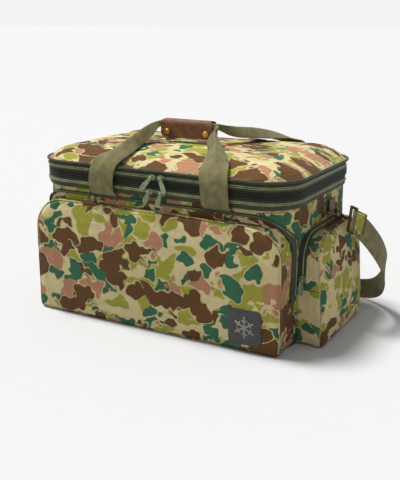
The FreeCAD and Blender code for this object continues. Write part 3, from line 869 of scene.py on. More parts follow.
@dataclass(frozen=True)
class ClothRun:
    """A short cloth simulation that fills a sewn panel and then lets it settle."""

    pressure: float = 3.0
    slack: float = 0.02
    frames: int = 20

    def settle(self, piece: bpy.types.Object, held: Array, cap: Array) -> None:
        """Runs the cloth with no gravity, and keeps each point's move, shortened to its cap.

        Args:
            piece: The open outer face of the panel.
            held: Which points are sewn down.
            cap: The longest move of each point, in millimetres.
        """
        group = piece.vertex_groups.new(name="sewn")
        group.add(np.flatnonzero(held).tolist(), 1.0, "REPLACE")
        cloth = piece.modifiers.new("settle", "CLOTH")
        rules = cloth.settings
        rules.quality, rules.mass = 6, 0.3
        rules.tension_stiffness = rules.compression_stiffness = 12.0
        rules.bending_stiffness = 0.6
        rules.vertex_group_mass = group.name
        rules.use_pressure, rules.uniform_pressure_force = True, self.pressure
        rules.shrink_min = -self.slack
        rules.effector_weights.gravity = 0.0
        cloth.collision_settings.use_collision = False
        cloth.point_cache.frame_start, cloth.point_cache.frame_end = 1, self.frames
        scene = bpy.context.scene
        for number in range(1, self.frames + 1):
            scene.frame_set(number)
        solved = piece.evaluated_get(bpy.context.evaluated_depsgraph_get())
        after = np.empty(len(solved.data.vertices) * 3)
        solved.data.vertices.foreach_get("co", after)
        before = corners_of(piece)
        piece.modifiers.remove(cloth)
        piece.vertex_groups.remove(group)
        scene.frame_set(1)
        move = after.reshape(-1, 3) / MM - before
        far = np.linalg.norm(move, axis=1, keepdims=True)
        keep = np.where(held, 0.0, cap)[:, None] * np.tanh(
            far / np.maximum(cap, 1e-6)[:, None]
        ) / np.maximum(far, 1e-9)
        set_corners(piece, before + move * keep)


def thicken(piece: bpy.types.Object, thick: float) -> None:
    """Gives an open face its wall, inwards, in millimetres.

    Args:
        piece: The open piece, changed in place.
        thick: The wall's thickness.
    """
    wall = piece.modifiers.new("wall", "SOLIDIFY")
    wall.thickness = thick * MM
    wall.offset = -1.0
    wall.use_rim = True


# ---------------------------------------------------------------- sewn lines

@dataclass(frozen=True)
class Stitching:
    """Rows of single stitches: short capsules that dip at both ends."""

    long: float = 3.1
    gap: float = 1.3
    thick: float = 0.42

    def along(self, line: Array, out: Array, closed: bool = False) -> Array:
        """Places stitches on a line: each is a ring of sides at stations that narrow and sink at its ends.

        Args:
            line: The seam's points.
            out: The direction that the cloth faces at each.
            closed: Whether the last point joins the first.

        Returns:
            An array of stitches, stations, sides and places.
        """
        if closed:
            line, out = np.concatenate([line, line[:1]]), np.concatenate([out, out[:1]])
        run = np.concatenate([[0], np.cumsum(np.linalg.norm(np.diff(line, axis=0), axis=1))])
        pitch = self.long + self.gap
        count = max(1, int(run[-1] / pitch))
        starts = (np.arange(count) + 0.5) * run[-1] / count
        share = np.array([-0.5, -0.32, 0.0, 0.32, 0.5])
        width = np.array([0.25, 0.8, 1.0, 0.8, 0.25])
        lift = np.array([-0.25, 0.15, 0.3, 0.15, -0.25]) * 2 * self.thick
        at = starts[:, None] + share * self.long
        spot = np.stack([np.interp(at, run, line[:, k]) for k in range(3)], -1)
        normal = unit(np.stack([np.interp(at, run, out[:, k]) for k in range(3)], -1))
        ahead = unit(
            np.stack(
                [np.interp(at + 0.5, run, line[:, k]) - np.interp(at - 0.5, run, line[:, k]) for k in range(3)],
                -1
            )
        )
        beside = unit(np.cross(ahead, normal))
        turn = np.linspace(0, 2 * math.pi, 6)[:-1]
        round_about = (
            beside[:, :, None] * np.cos(turn)[:, None] + normal[:, :, None] * np.sin(turn)[:, None] * 0.8
        )
        middle = spot + normal * lift[:, None]
        return middle[:, :, None] + round_about * (width[:, None, None] * self.thick)

    def piece(self, name: str, runs: Sequence[Array], finish: Finish = THREAD) -> bpy.types.Object:
        """Joins runs of stitches into one piece; each stitch is a tube with capped ends.

        Args:
            name: The piece's name.
            runs: What along gives for each run.
            finish: The thread's finish.

        Returns:
            The piece.
        """
        stack = np.concatenate(list(runs))
        count, stations, sides = stack.shape[:3]
        one = [grid_faces(stations, sides, False, True), *end_caps(stations, sides)]
        offsets = (np.arange(count) * stations * sides)[:, None, None]
        faces = [(block[None] + offsets).reshape(-1, block.shape[1]) for block in one]
        made = outward(put_mesh(name, stack.reshape(-1, 3), faces))
        return finish.dress(made)


STITCH = Stitching()


# ---------------------------------------------------------------- sewn pouches

@dataclass
class Pouch:
    """A panel sewn to a gusset that runs back to the wall behind it, as one open shell."""

    name: str
    panel: RoundedPanel
    edge: float
    wall: float = 1.6
    cap: float = 5.0
    groove: float = 1.8
    flare: float = 0.0
    stretch: tuple[float, float, float] = (1.0, 1.0, 1.0)
    gusset_shift: tuple[float, float, float] = (37.0, 0.0, 71.0)
    gusset_rows: tuple[float, ...] = (2.5, 7.5)
    run: ClothRun = field(default_factory=ClothRun)
    shift: Array = field(default_factory=lambda: np.zeros(3))
    rows: list[Array] = field(default_factory=list)
    normals: Array | None = None
    piece: bpy.types.Object | None = None

    def face(self, across: Array, high: Array) -> Array:
        """How far out the panel stands at a place on it."""
        raise NotImplementedError

    def back(self, across: Array, high: Array) -> Array:
        """How far out the gusset's rear edge is at a place on the outline."""
        raise NotImplementedError

    def to_space(self, across: Array, high: Array, depth: Array) -> Array:
        """The place in the bag's frame of a place across, up and out."""
        raise NotImplementedError

    def uneven(self, points: Array) -> Array:
        """How far the cloth stands off its even shape, along the panel's own direction."""
        return 0.9 * ripple(points, 34.0, 1.0)

    def build(self) -> bpy.types.Object:
        """The panel's grid, a quarter-round edge, and a gusset whose middle sags a little inwards.

        Returns:
            The piece, with its cloth settled and its wall thickness.
        """
        flat = self.panel.grid()
        shape = flat.shape[:2]
        across, high = flat[..., 0].ravel(), flat[..., 1].ravel()
        points = [self.to_space(across, high, self.face(across, high))]
        numbers, out = self.panel.edge()
        base = flat.reshape(-1, 2)[numbers]
        front = self.face(base[:, 0], base[:, 1])
        rear = self.back(base[:, 0] + out[:, 0] * self.edge, base[:, 1] + out[:, 1] * self.edge)
        loops: list[tuple[Array | float, Array]] = []
        upward = self.flare * np.clip(out[:, 1], 0, 1) ** 2
        for turn in np.radians([20, 38, 58, 90]):
            sunk = self.groove * math.exp(-((turn - 0.6) / 0.3) ** 2)
            loops.append(
                (self.edge * math.sin(turn) - sunk * 0.5, front - self.edge * (1 - math.cos(turn)) - sunk)
            )
        start = front - self.edge
        for length in self.gusset_rows:
            loops.append((self.edge, start - length))
        done = self.gusset_rows[-1]
        for share in np.linspace(0, 1, 8)[1:]:
            depth = (start - done) * (1 - share) + rear * share
            loops.append((self.edge - 1.4 * math.sin(math.pi * share) + upward * share, depth))
        for lift, depth in loops:
            spot = base + out * (lift[:, None] if isinstance(lift, np.ndarray) else lift)
            points.append(self.to_space(spot[:, 0], spot[:, 1], depth))
        count, ring = across.size, len(numbers)
        faces = [grid_faces(*shape)]
        rings = np.concatenate([numbers[None], count + np.arange(len(loops) * ring).reshape(-1, ring)])
        local = grid_faces(len(rings), ring, False, True)
        faces.append(rings.ravel()[local][:, ::-1])
        every = np.concatenate(points)
        rest = every.copy()
        inside = self.to_space(
            np.array([0.0]), np.array([self.panel.high / 2]), np.array([float(rear.mean())])
        )[0]
        piece = put_mesh(self.name, every, faces, inside)
        held = np.zeros(len(every), bool)
        held[numbers] = True
        held[count:count + 4 * ring] = True
        held[-ring:] = True
        cap = np.full(len(every), 1.0)
        cap[:count] = self.cap
        self.run.settle(piece, held, cap)
        moved = corners_of(piece)
        lean = unit(self.to_space(across, high, self.face(across, high) + 1) - points[0])
        middle = np.ones(shape)
        middle[[0, -1]] = 0
        middle[:, [0, -1]] = 0
        moved[:count] += lean * (self.uneven(rest[:count]) * middle.ravel())[:, None]
        moved[:, 2] = np.maximum(moved[:, 2], self.wall + 0.3)
        set_corners(piece, moved)
        cut = np.zeros_like(rest)
        cut[count + 3 * ring:] = self.gusset_shift
        tag(piece, Place.CLOTH.value, rest * self.stretch + self.shift + cut)
        thicken(piece, self.wall)
        self.rows = [moved[count + k * ring:count + (k + 1) * ring] for k in range(len(loops))]
        flat_out = self.to_space(
            base[:, 0] + out[:, 0], base[:, 1] + out[:, 1], rear
        ) - self.to_space(base[:, 0], base[:, 1], rear)
        self.normals = unit(flat_out)
        self.piece = piece
        return CANVAS.dress(piece)

    def topstitch(self, name: str, rows: Sequence[int]) -> bpy.types.Object:
        """Stitches all round on some of the gusset's rows, which are counted from the front edge."""
        return STITCH.piece(name, [STITCH.along(self.rows[k], self.normals, True) for k in rows])

    def cross_seam(self, name: str, high: float) -> bpy.types.Object:
        """A sunken seam across the gusset on both sides at a height: a fine dark bead along the rows, of dark thread
        and also painted shade standing for the seam's sunken groove.

        Args:
            name: The piece's name.
            high: The seam's height above the floor.

        Returns:
            The piece.
        """
        stack = np.stack(self.rows)
        sides = self.normals
        grids, faces, count = [], [], 0
        turn = np.linspace(0, 2 * math.pi, 7)[:-1]
        section = np.stack([np.cos(turn), np.sin(turn)], 1) * 0.55
        wide = stack[0] @ np.array([1.0, 1.0, 0.0])
        for half in (wide > wide.mean(), wide <= wide.mean()):
            level = np.abs(sides[:, 2]) < 0.2
            pick = np.flatnonzero(half & level)
            chosen = pick[np.argmin(np.abs(stack[0, pick, 2] - high))]
            line = stack[2:, chosen]
            out = np.broadcast_to(sides[chosen], line.shape)
            up = np.tile([[0.0, 0.0, 1.0]], (len(line), 1))
            grid = carried(line + out * 0.15, out, up, section)
            grids.append(grid.reshape(-1, 3))
            faces += [
                grid_faces(len(line), 6, False, True) + count
            ] + [cap + count for cap in end_caps(len(line), 6)]
            count += grid.shape[0] * 6
        # The bead's dark thread also serves as painted shade for the sunken seam.
        return DARK_THREAD.dress(outward(put_mesh(name, np.concatenate(grids), faces)))

    def welt(self, name: str, row: int, radius: float, finish: Finish = CANVAS) -> bpy.types.Object:
        """A rolled seam round the front edge: a circle carried along one of the rows.

        Args:
            name: The piece's name.
            row: Which of the rows it follows.
            radius: The seam's radius.
            finish: Its finish.

        Returns:
            The piece.
        """
        line = self.rows[row]
        ahead = unit(np.roll(line, -1, 0) - np.roll(line, 1, 0))
        side = unit(np.cross(ahead, self.normals))
        turn = np.linspace(0, 2 * math.pi, 9)[:-1]
        grid = carried(line, self.normals, side, np.stack([np.cos(turn), np.sin(turn)], 1) * radius)
        piece = tube_piece(name, grid, True)
        tag(piece, Place.CLOTH.value, grid.reshape(-1, 3) + self.shift + 4.0)
        return finish.dress(piece)


@dataclass
class FrontPouch(Pouch):
    """The large front pocket."""

    plate: float = 173.0
    foot: float = 6.0

    def face(self, across: Array, high: Array) -> Array:
        """The plate, crowned by up to 3.5 mm below its middle, and drawn in towards the top seam.

        Args:
            across: Places across the panel.
            high: Heights up the panel.

        Returns:
            The face's depth at each place.
        """
        u, v = across / self.panel.half, high / self.panel.high
        crown = (1 - np.abs(u) ** 4) * np.sin(math.pi * np.clip(v, 0, 1) ** 0.85)
        return self.plate - 1.0 + 3.2 * crown - 1.5 * np.clip(v - 0.75, 0, 1) * 4

    def back(self, across: Array, high: Array) -> Array:
        """The wall: straight in front, and following the body's round corner at the sides."""
        beyond = np.clip(np.abs(across) - 182.0, 0, 60.9)
        return np.maximum(97.0 + np.sqrt(61.0**2 - beyond**2), 108.0) + 0.6

    def to_space(self, across: Array, high: Array, depth: Array) -> Array:
        """Out is towards the front, and the panel starts a rounded edge above the floor."""
        return np.stack([across, -depth, high + self.foot], -1)


@dataclass
class SidePouch(Pouch):
    """A pocket on one end, whose face leans in towards its top."""

    hand: int = 1
    plate: float = 292.0
    foot: float = 5.0

    def face(self, across: Array, high: Array) -> Array:
        """The leaning plate, crowned, with upright folds that grow towards the top.

        Args:
            across: Places across the panel.
            high: Heights up the panel.

        Returns:
            The face's depth at each place.
        """
        u, v = across / self.panel.half, high / self.panel.high
        lean = np.minimum(self.plate, 296.0 - 0.0875 * high)
        crown = (1 - np.abs(u) ** 3) * np.sin(math.pi * np.clip(v, 0, 1) ** 0.7)
        folds = np.sin(
            across / 8.5 + 1.1 * np.sin(high / 27.0)
        ) * (0.25 + np.clip(v - 0.35, 0, 1)) * (1 - np.abs(u) ** 3)
        return lean - 1.2 + 2.6 * crown + 2.6 * folds * np.sin(math.pi * np.clip(v, 0, 1)) ** 0.5

    def back(self, across: Array, high: Array) -> Array:
        """The flat end of the body."""
        return np.full_like(across, 243.6)

    def to_space(self, across: Array, high: Array, depth: Array) -> Array:
        """Out is to the right or the left, and the panel starts a rounded edge above the floor."""
        return np.stack([self.hand * depth, across, high + self.foot], -1)


@dataclass
class CoverTop(Pouch):
    """The crowned canvas top of the cover, sewn in under the piping."""

    level: float = 282.0

    def face(self, across: Array, high: Array) -> Array:
        """Rises from the seam by 22 mm over the first 60, and humps a little more in the middle.

        Args:
            across: Places across the panel.
            high: Heights up the panel.

        Returns:
            The face's depth at each place.
        """
        y = high - self.panel.high / 2
        grid_half_x, grid_half_y = self.panel.half, self.panel.high / 2
        corner = self.panel.top_round
        qx = np.abs(across) - (grid_half_x - corner)
        qy = np.abs(y) - (grid_half_y - corner)
        inside = corner - np.hypot(np.maximum(qx, 0), np.maximum(qy, 0)) - np.minimum(np.maximum(qx, qy), 0)
        rise = 1 - (1 - np.clip(inside / 60.0, 0, 1)) ** 2.7
        hump = np.exp(-((across - 5) / 95.0) ** 2 - ((y + 35) / 62.0) ** 2)
        return self.level + 21.6 * rise + 5.0 * hump * np.clip(inside / 60.0, 0, 1)

    def back(self, across: Array, high: Array) -> Array:
        """The seam under the piping."""
        return np.full_like(across, 279.2)

    def to_space(self, across: Array, high: Array, depth: Array) -> Array:
        """Out is up."""
        return np.stack([across, high - self.panel.high / 2, depth], -1)

    def uneven(self, points: Array) -> Array:
        """Broad soft swells, as over loose padding."""
        return 0.8 * ripple(points, 40.0, 2.0)


# ---------------------------------------------------------------- body, tray and cover

def band_piece(name: str, profile: Sequence[tuple[float, float]], finish: Finish, uneven: float = 0.0,
               shift: float = 0.0, step: float = 5.0) -> bpy.types.Object:
    """A closed section carried all round the plan.

    Args:
        name: The piece's name.
        profile: The section's corners: how far inside the full plan, and how high.
        finish: Its finish.
        uneven: How far the cloth may stand off, in millimetres.
        shift: Moves the printed pattern, so that it doesn't run on from its neighbour.
        step: The spacing of the points.

    Returns:
        The piece.
    """
    section = np.array(profile, float)
    line, out = PLAN.loop(0.0, step)
    up = np.zeros_like(out)
    up[:, 2] = 1
    grid = carried(line, -out, up, section)
    if uneven:
        grid -= out[:, None] * (uneven * (ripple(grid, 30.0, 3.0) - 0.6))[..., None]
    piece = tube_piece(name, grid, True)
    tag(piece, Place.CLOTH.value, grid.reshape(-1, 3) + shift)
    return finish.dress(piece)


def wall_profile(
    inset: float, low: float, high: float, wall: float, bulge: float, count: int
) -> list[tuple[float, float]]:
    """A tall thin section: outside up with a slight swell, and inside down.

    Args:
        inset: How far inside the outline the outer side lies.
        low: The foot's level.
        high: The top's level.
        wall: The wall's thickness.
        bulge: The swell at half height.
        count: The number of points on a side.

    Returns:
        The section's corners, each as an inset and a level.
    """
    rise = np.linspace(0, 1, count)
    swell = bulge * np.sin(math.pi * rise)
    outside = [(inset - s, low + (high - low) * r) for s, r in zip(swell, rise)]
    return outside + [(inset + wall, level) for _, level in outside[::-1]]


@dataclass
class Body:
    """The bag's wall, its lining, its bound rim and what is stiff in it."""

    top: float = 246.2
    inset: float = 7.0
    nodes: dict[str, Finish] = field(
        default_factory=lambda: {"base_panel": BOARD, "foam_base": FOAM, "foam_wall": FOAM}
    )

    def build(self) -> None:
        """Makes the canvas wall, the foil tub and the rim's binding."""
        wall = band_piece(
            "body_wall", wall_profile(self.inset, 4.4, self.top - 9.6, 1.6, 1.2, 40), CANVAS, 0.8, 310.0
        )
        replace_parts(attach(wall, "bag_body"), "wall_shell")
        self.binding()
        self.tub()
        for node, finish in self.nodes.items():
            finish.dress(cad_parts[node])
        runs = []
        for line, out in self.corner_seams():
            runs.append(STITCH.along(line, out))
        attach(STITCH.piece("body_corner_stitches", runs), "bag_body")

    def binding(self) -> None:
        """A soft bound edge round the rim: rounded inside and out."""
        section = [(3.7, 236.4), (3.5, 240.0), (3.6, 244.4), (4.6, 246.1), (8.0, 246.2), (17.0, 246.2), (19.6, 245.2),
                   (20.4, 242.0), (19.6, 237.2), (17.0, 236.2), (5.4, 236.0)]
        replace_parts(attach(band_piece("rim_binding", section, TAPE), "bag_body"), "rim_band")

    def corner_seams(self) -> list[tuple[Array, Array]]:
        """Upright seams beside each corner of the wall, in pairs 5 mm apart.

        Returns:
            Each seam's line and its outward directions.
        """
        rise = np.linspace(8, 232, 60)
        seams = []
        for side in (-1, 1):
            for deep in (-97.0, -102.0, 97.0, 102.0):
                beyond = abs(deep) - 97.0
                out_x = 182 + math.sqrt(61.0**2 - beyond**2)
                swell = 1.2 * np.sin(math.pi * (rise - 4.4) / 232.2) + 0.5
                line = np.stack([side * (out_x + swell), np.full_like(rise, deep), rise], 1)
                seams.append((line, np.tile([[side * 1.0, 0.0, 0.0]], (60, 1))))
        return seams

    def tub(self) -> None:
        """The foil lining: one closed form from the floor's middle, up the inside, over, and down the outside."""
        line, out = PLAN.loop(0.0, 6.0)
        rise = np.linspace(20.5, 236.0, 26)
        floor = [(shrink, 17.6) for shrink in (0.02, 0.25, 0.5, 0.75, 0.93)]
        rows = []
        base = line - out * 22.8
        for shrink, level in floor:
            rows.append(base * [shrink, shrink, 0] + [0, 0, level])
        for level in rise:
            rows.append(base + [0, 0, level])
        outer = line - out * 21.7
        for level in rise[::-1]:
            rows.append(outer + [0, 0, level])
        for shrink, _ in floor[::-1]:
            rows.append(outer * [shrink, shrink, 0] + [0, 0, 16.5])
        grid = np.stack(rows)
        inner = np.arange(len(rows)) < len(floor) + len(rise)
        wave = 1.1 * ripple(grid, 21.0, 4.0) * inner[:, None]
        grid[5:31] -= out[None] * np.abs(wave[5:31, :, None]) * 1.0
        grid[:5, :, 2] += np.abs(wave[:5])
        piece = outward(
            put_mesh(
                "foil_tub", grid.reshape(-1, 3),
                [grid_faces(len(rows), len(line), False, True), *end_caps(len(rows), len(line))]
            )
        )
        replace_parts(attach(FOIL.dress(piece), "bag_body"), "liner_tub")


@dataclass
class Tray:
    """The shallow ribbed tray under the cover."""

    low: float = 246.8
    high: float = 271.4
    ribs: tuple[float, ...] = (255.4, 259.6, 263.8)

    def build(self) -> None:
        """A ring of dark cloth, darkened beyond its own dark olive as painted shade for the recess between the
        zippers, with three piped ribs, and its floor.
        """
        outside: list[tuple[float, float]] = [(5.0, self.low + 0.1), (3.8, self.low + 0.8)]
        for rib in self.ribs:
            outside += [
                (3.6, rib - 1.9), (2.2, rib - 1.3), (1.5, rib - 0.5), (1.5, rib + 0.5), (2.2, rib + 1.3),
                (3.6, rib + 1.9)
            ]
        outside += [(3.8, self.high - 0.8), (5.0, self.high - 0.1)]
        inside = [(12.2, self.high - 0.1), (12.5, 259.0), (12.2, self.low + 0.1)]
        ring = band_piece("tray_ring", outside + inside, TRAY_CLOTH_WITH_PAINTED_SHADE)
        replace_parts(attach(ring, "tray"), "tray_gusset")
        LINING.dress(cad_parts["tray_floor"])
        runs = [
            STITCH.along(line + [0, 0, level], out, True) for level in (253.0, 266.2) for line,
            out in [PLAN.loop(3.35)]
        ]
        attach(STITCH.piece("tray_stitches", runs, DARK_THREAD), "tray")


@dataclass
class Cover:
    """The padded cover: canvas top, dark skirt, piping and lining."""

    nodes: dict[str, Finish] = field(default_factory=lambda: {"cover_liner": LINING})

    def build(self) -> None:
        """Makes the top, its skirt, its piping and the small sewn tab."""
        edge = 3.0
        panel = RoundedPanel(246.5 - edge, 323.0 - 2 * edge, 64.5 - edge, 64.5 - edge, 6.0)
        top = CoverTop("cover_top", panel, edge, gusset_rows=(0.6,), cap=3.0, gusset_shift=(0.0, 0.0, 0.0), shift=np.array([655.0, 150, 90]), stretch=(1.0, 1.5, 0.25), groove=0.6,
                       run=ClothRun(2.0, 0.004))
        piece = top.build()
        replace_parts(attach(piece, "cover"), "cover_shell")
        skirt = [
            (3.5, 272.1), (3.4, 275.0), (3.5, 279.0), (4.2, 280.6), (5.6, 280.4), (6.0, 276.0), (5.6, 272.1)
        ]
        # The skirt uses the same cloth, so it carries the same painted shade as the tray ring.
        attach(band_piece("cover_skirt", skirt, TRAY_CLOTH_WITH_PAINTED_SHADE), "cover")
        turn = np.linspace(0, 2 * math.pi, 11)[:-1]
        pipe = [(1.0 + 2.2 * math.cos(t), 280.5 + 2.2 * math.sin(t)) for t in turn]
        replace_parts(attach(band_piece("lid_piping", pipe, TAPE), "cover"), "cover_piping")
        numbers, _ = panel.edge()
        moved = corners_of(piece)
        rows, columns = panel.grid().shape[:2]
        inner = np.clip(numbers // columns, 1, rows - 2) * columns + np.clip(numbers % columns, 1, columns - 2)
        line = moved[inner]
        keep = np.concatenate([[True], np.linalg.norm(np.diff(line, axis=0), axis=1) > 0.5])
        up = np.tile([[0.0, 0.0, 1.0]], (int(keep.sum()), 1))
        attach(STITCH.piece("cover_stitches", [STITCH.along(line[keep], up, True)]), "cover")
        self.foam(moved, panel)
        self.tab(moved)
        for node, finish in self.nodes.items():
            finish.dress(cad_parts[node])

    def foam(self, top: Array, panel: RoundedPanel) -> None:
        """The padding under the canvas: its top is the settled canvas lowered, and its underside is flat.

        Args:
            top: The canvas's points, the panel's grid first.
            panel: The grid.
        """
        rows, columns = panel.grid().shape[:2]
        count = rows * columns
        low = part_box("cover_foam")[0][2] / MM
        upper = top[:count] * [0.98, 0.975, 1.0] - [0.0, 0.0, 4.4]
        upper[:, 2] = np.maximum(upper[:, 2], low + 0.6)
        under = upper.copy()
        under[:, 2] = low
        numbers, _ = panel.edge()
        following = np.roll(numbers, -1)
        side = np.stack([numbers + count, following + count, following, numbers], 1)
        face = grid_faces(rows, columns)
        piece = outward(
            put_mesh("cover_padding", np.concatenate([upper, under]), [face, face[:, ::-1] + count, side])
        )
        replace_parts(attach(FOAM.dress(piece), "cover"), "cover_foam")

    def tab(self, top: Array) -> None:
        """A small leather loop tab that lies on the cover, its middle lifted by a fold.

        Args:
            top: The cover's top, which the tab lies on.
        """
        u, v = np.meshgrid(np.linspace(-1, 1, 13), np.linspace(-1, 1, 9))
        x = 79 + 15 * u + 2 * v
        y = 83 + 12 * v - 3 * u
        near = top[(np.abs(top[:, 0] - 79) < 24) & (np.abs(top[:, 1] - 83) < 24)]
        base = near[:, 2].max() + 0.3
        z = base + 1.6 * np.cos(v * math.pi / 2) * (0.6 + 0.4 * np.cos(u * math.pi / 2))
        piece = put_mesh(
            "lid_loop_tab", np.stack([x, y, z], -1).reshape(-1, 3), [grid_faces(9, 13)],
            np.array([79, 83, 200.0])
        )
        thicken(piece, 1.4)
        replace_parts(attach(LEATHER.dress(piece), "cover"), "lid_tab")


# ---------------------------------------------------------------- zippers

@dataclass
class RimZipper:
    """One half of a rim zipper: woven tape and nylon coil along three sides."""

    name: str
    body: str
    node: str
    tape: tuple[float, float]
    coil: float
    end: float = 105.0
    pitch: float = 2.2

    def build(self) -> None:
        """The tape is a thin section, and the coil a bead that swells once a pitch."""
        line, out = PLAN.three_sides(2.55, self.end, 5.0)
        up = np.tile([[0.0, 0.0, 1.0]], (len(line), 1))
        low, high = self.tape
        middle, half = (low + high) / 2, (high - low) / 2
        section = np.array([(-0.55, -half), (0.55, -half + 0.1), (0.62, 0), (0.55, half - 0.1), (-0.55, half)])
        grid = carried(line + [0, 0, middle], out, up, section)
        tape = TAPE.dress(outward(tube_piece(self.name + "_tape", grid)))
        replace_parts(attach(tape, self.body), self.node)
        line, out = PLAN.three_sides(1.05, self.end, self.pitch / 4)
        up = np.tile([[0.0, 0.0, 1.0]], (len(line), 1))
        run = np.concatenate([[0], np.cumsum(np.linalg.norm(np.diff(line, axis=0), axis=1))])
        swell = 1 + 0.16 * np.sin(2 * math.pi * run / self.pitch)
        turn = np.linspace(0, 2 * math.pi, 7)[:-1]
        bead = np.stack([0.82 * np.cos(turn), 0.92 * np.sin(turn)], 1)
        grid = carried(line + [0, 0, self.coil], out, up, bead, swell)
        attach(COIL_WITH_PAINTED_HIGHLIGHT.dress(outward(tube_piece(self.name + "_coil", grid))), self.body)


@dataclass
class BackHinge:
    """Sewn cloth strips along the back that the tray and the cover turn on."""

    half: float = 184.0
    depth: float = 162.6
    thick: float = 0.9

    def build(self) -> None:
        """Each strip is a thin closed sheet whose middle swells a little over the gap."""
        for name, low, high, parts in (("body_hinge_cloth", 240.6, 252.6, ("bag_body", "tray")),
                                       ("cover_hinge_cloth", 265.8, 277.8, ("tray", "cover"))):
            rise = np.linspace(low, high, 13)
            swell = 0.5 * np.sin(math.pi * (rise - low) / (high - low))
            x = np.linspace(-self.half, self.half, 93)
            outer = np.stack(np.broadcast_arrays(x[:, None], self.depth + self.thick / 2 + swell, rise), -1)
            inner = np.stack(np.broadcast_arrays(x[:, None], self.depth - self.thick / 2 + swell, rise), -1)
            piece = TRAY_CLOTH_WITH_PAINTED_SHADE.dress(outward(tube_piece(name, np.concatenate([outer, inner[:, ::-1]], 1))))
            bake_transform(piece)


@dataclass
class PocketZipper:
    """The coils round the front pocket and the side pockets; their tapes are the frame's own."""

    pitch: float = 2.2

    def bead(self, name: str, line: Array, out: Array, radius: float) -> bpy.types.Object:
        """A bead that swells once a pitch, carried along a line.

        Args:
            name: The piece's name.
            line: The line it follows.
            out: The outward direction at each point.
            radius: The bead's radius.

        Returns:
            The piece.
        """
        ahead = unit(np.gradient(line, axis=0))
        side = unit(np.cross(ahead, out))
        run = np.concatenate([[0], np.cumsum(np.linalg.norm(np.diff(line, axis=0), axis=1))])
        swell = 1 + 0.16 * np.sin(2 * math.pi * run / self.pitch)
        turn = np.linspace(0, 2 * math.pi, 7)[:-1]
        section = np.stack([np.cos(turn), np.sin(turn)], 1) * radius
        return COIL_WITH_PAINTED_HIGHLIGHT.dress(outward(tube_piece(name, carried(line, unit(out), side, section, swell))))

    def arch(self, panel: RoundedPanel, start: float, step: float) -> tuple[Array, Array]:
        """The outline above a height, from the left foot over the top to the right foot.

        Args:
            panel: The panel whose outline it follows.
            start: The height it starts and ends at.
            step: The spacing of the points.

        Returns:
            The points, and the outward direction at each.
        """
        numbers, out = panel.edge()
        place = panel.grid().reshape(-1, 2)[numbers]
        keep = place[:, 1] >= start
        first = int(np.argmax(keep & ~np.roll(keep, 1)))
        order = np.roll(np.arange(len(place)), -first)
        order = order[keep[order]]
        place, out = place[order], out[order]
        run = np.concatenate([[0], np.cumsum(np.linalg.norm(np.diff(place, axis=0), axis=1))])
        at = np.arange(0, run[-1], step)
        place, out = (
            np.stack([np.interp(at, run, values[:, k]) for k in range(2)], 1) for values in (place, out)
        )
        return place, out

    def build(self, front: FrontPouch) -> None:
        """Coils along the foot of the front pocket's gusset and beside each side pocket's seam.

        Args:
            front: The front pouch.
        """
        place, out = self.arch(RoundedPanel(245.0, 226.4, 6, 59.5), 86.0, self.pitch / 4)
        deep = front.back(place[:, 0], place[:, 1]) + 1.8
        line = np.stack([place[:, 0], -deep, place[:, 1]], 1)
        flat = np.stack([out[:, 0], np.zeros(len(out)), out[:, 1]], 1)
        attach(self.bead("front_pocket_coil", line, flat, 1.0), "bag_body")
        for hand, word in ((1, "right"), (-1, "left")):
            place, out = self.arch(RoundedPanel(102.4, 188.4, 6, 41.4), 104.0, self.pitch / 4)
            line = np.stack([np.full(len(place), hand * 253.2), place[:, 0], place[:, 1]], 1)
            flat = np.stack([np.zeros(len(out)), out[:, 0], out[:, 1]], 1)
            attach(self.bead(f"side_pocket_coil_{word}", line, flat, 1.0), "bag_body")


# ---------------------------------------------------------------- pockets

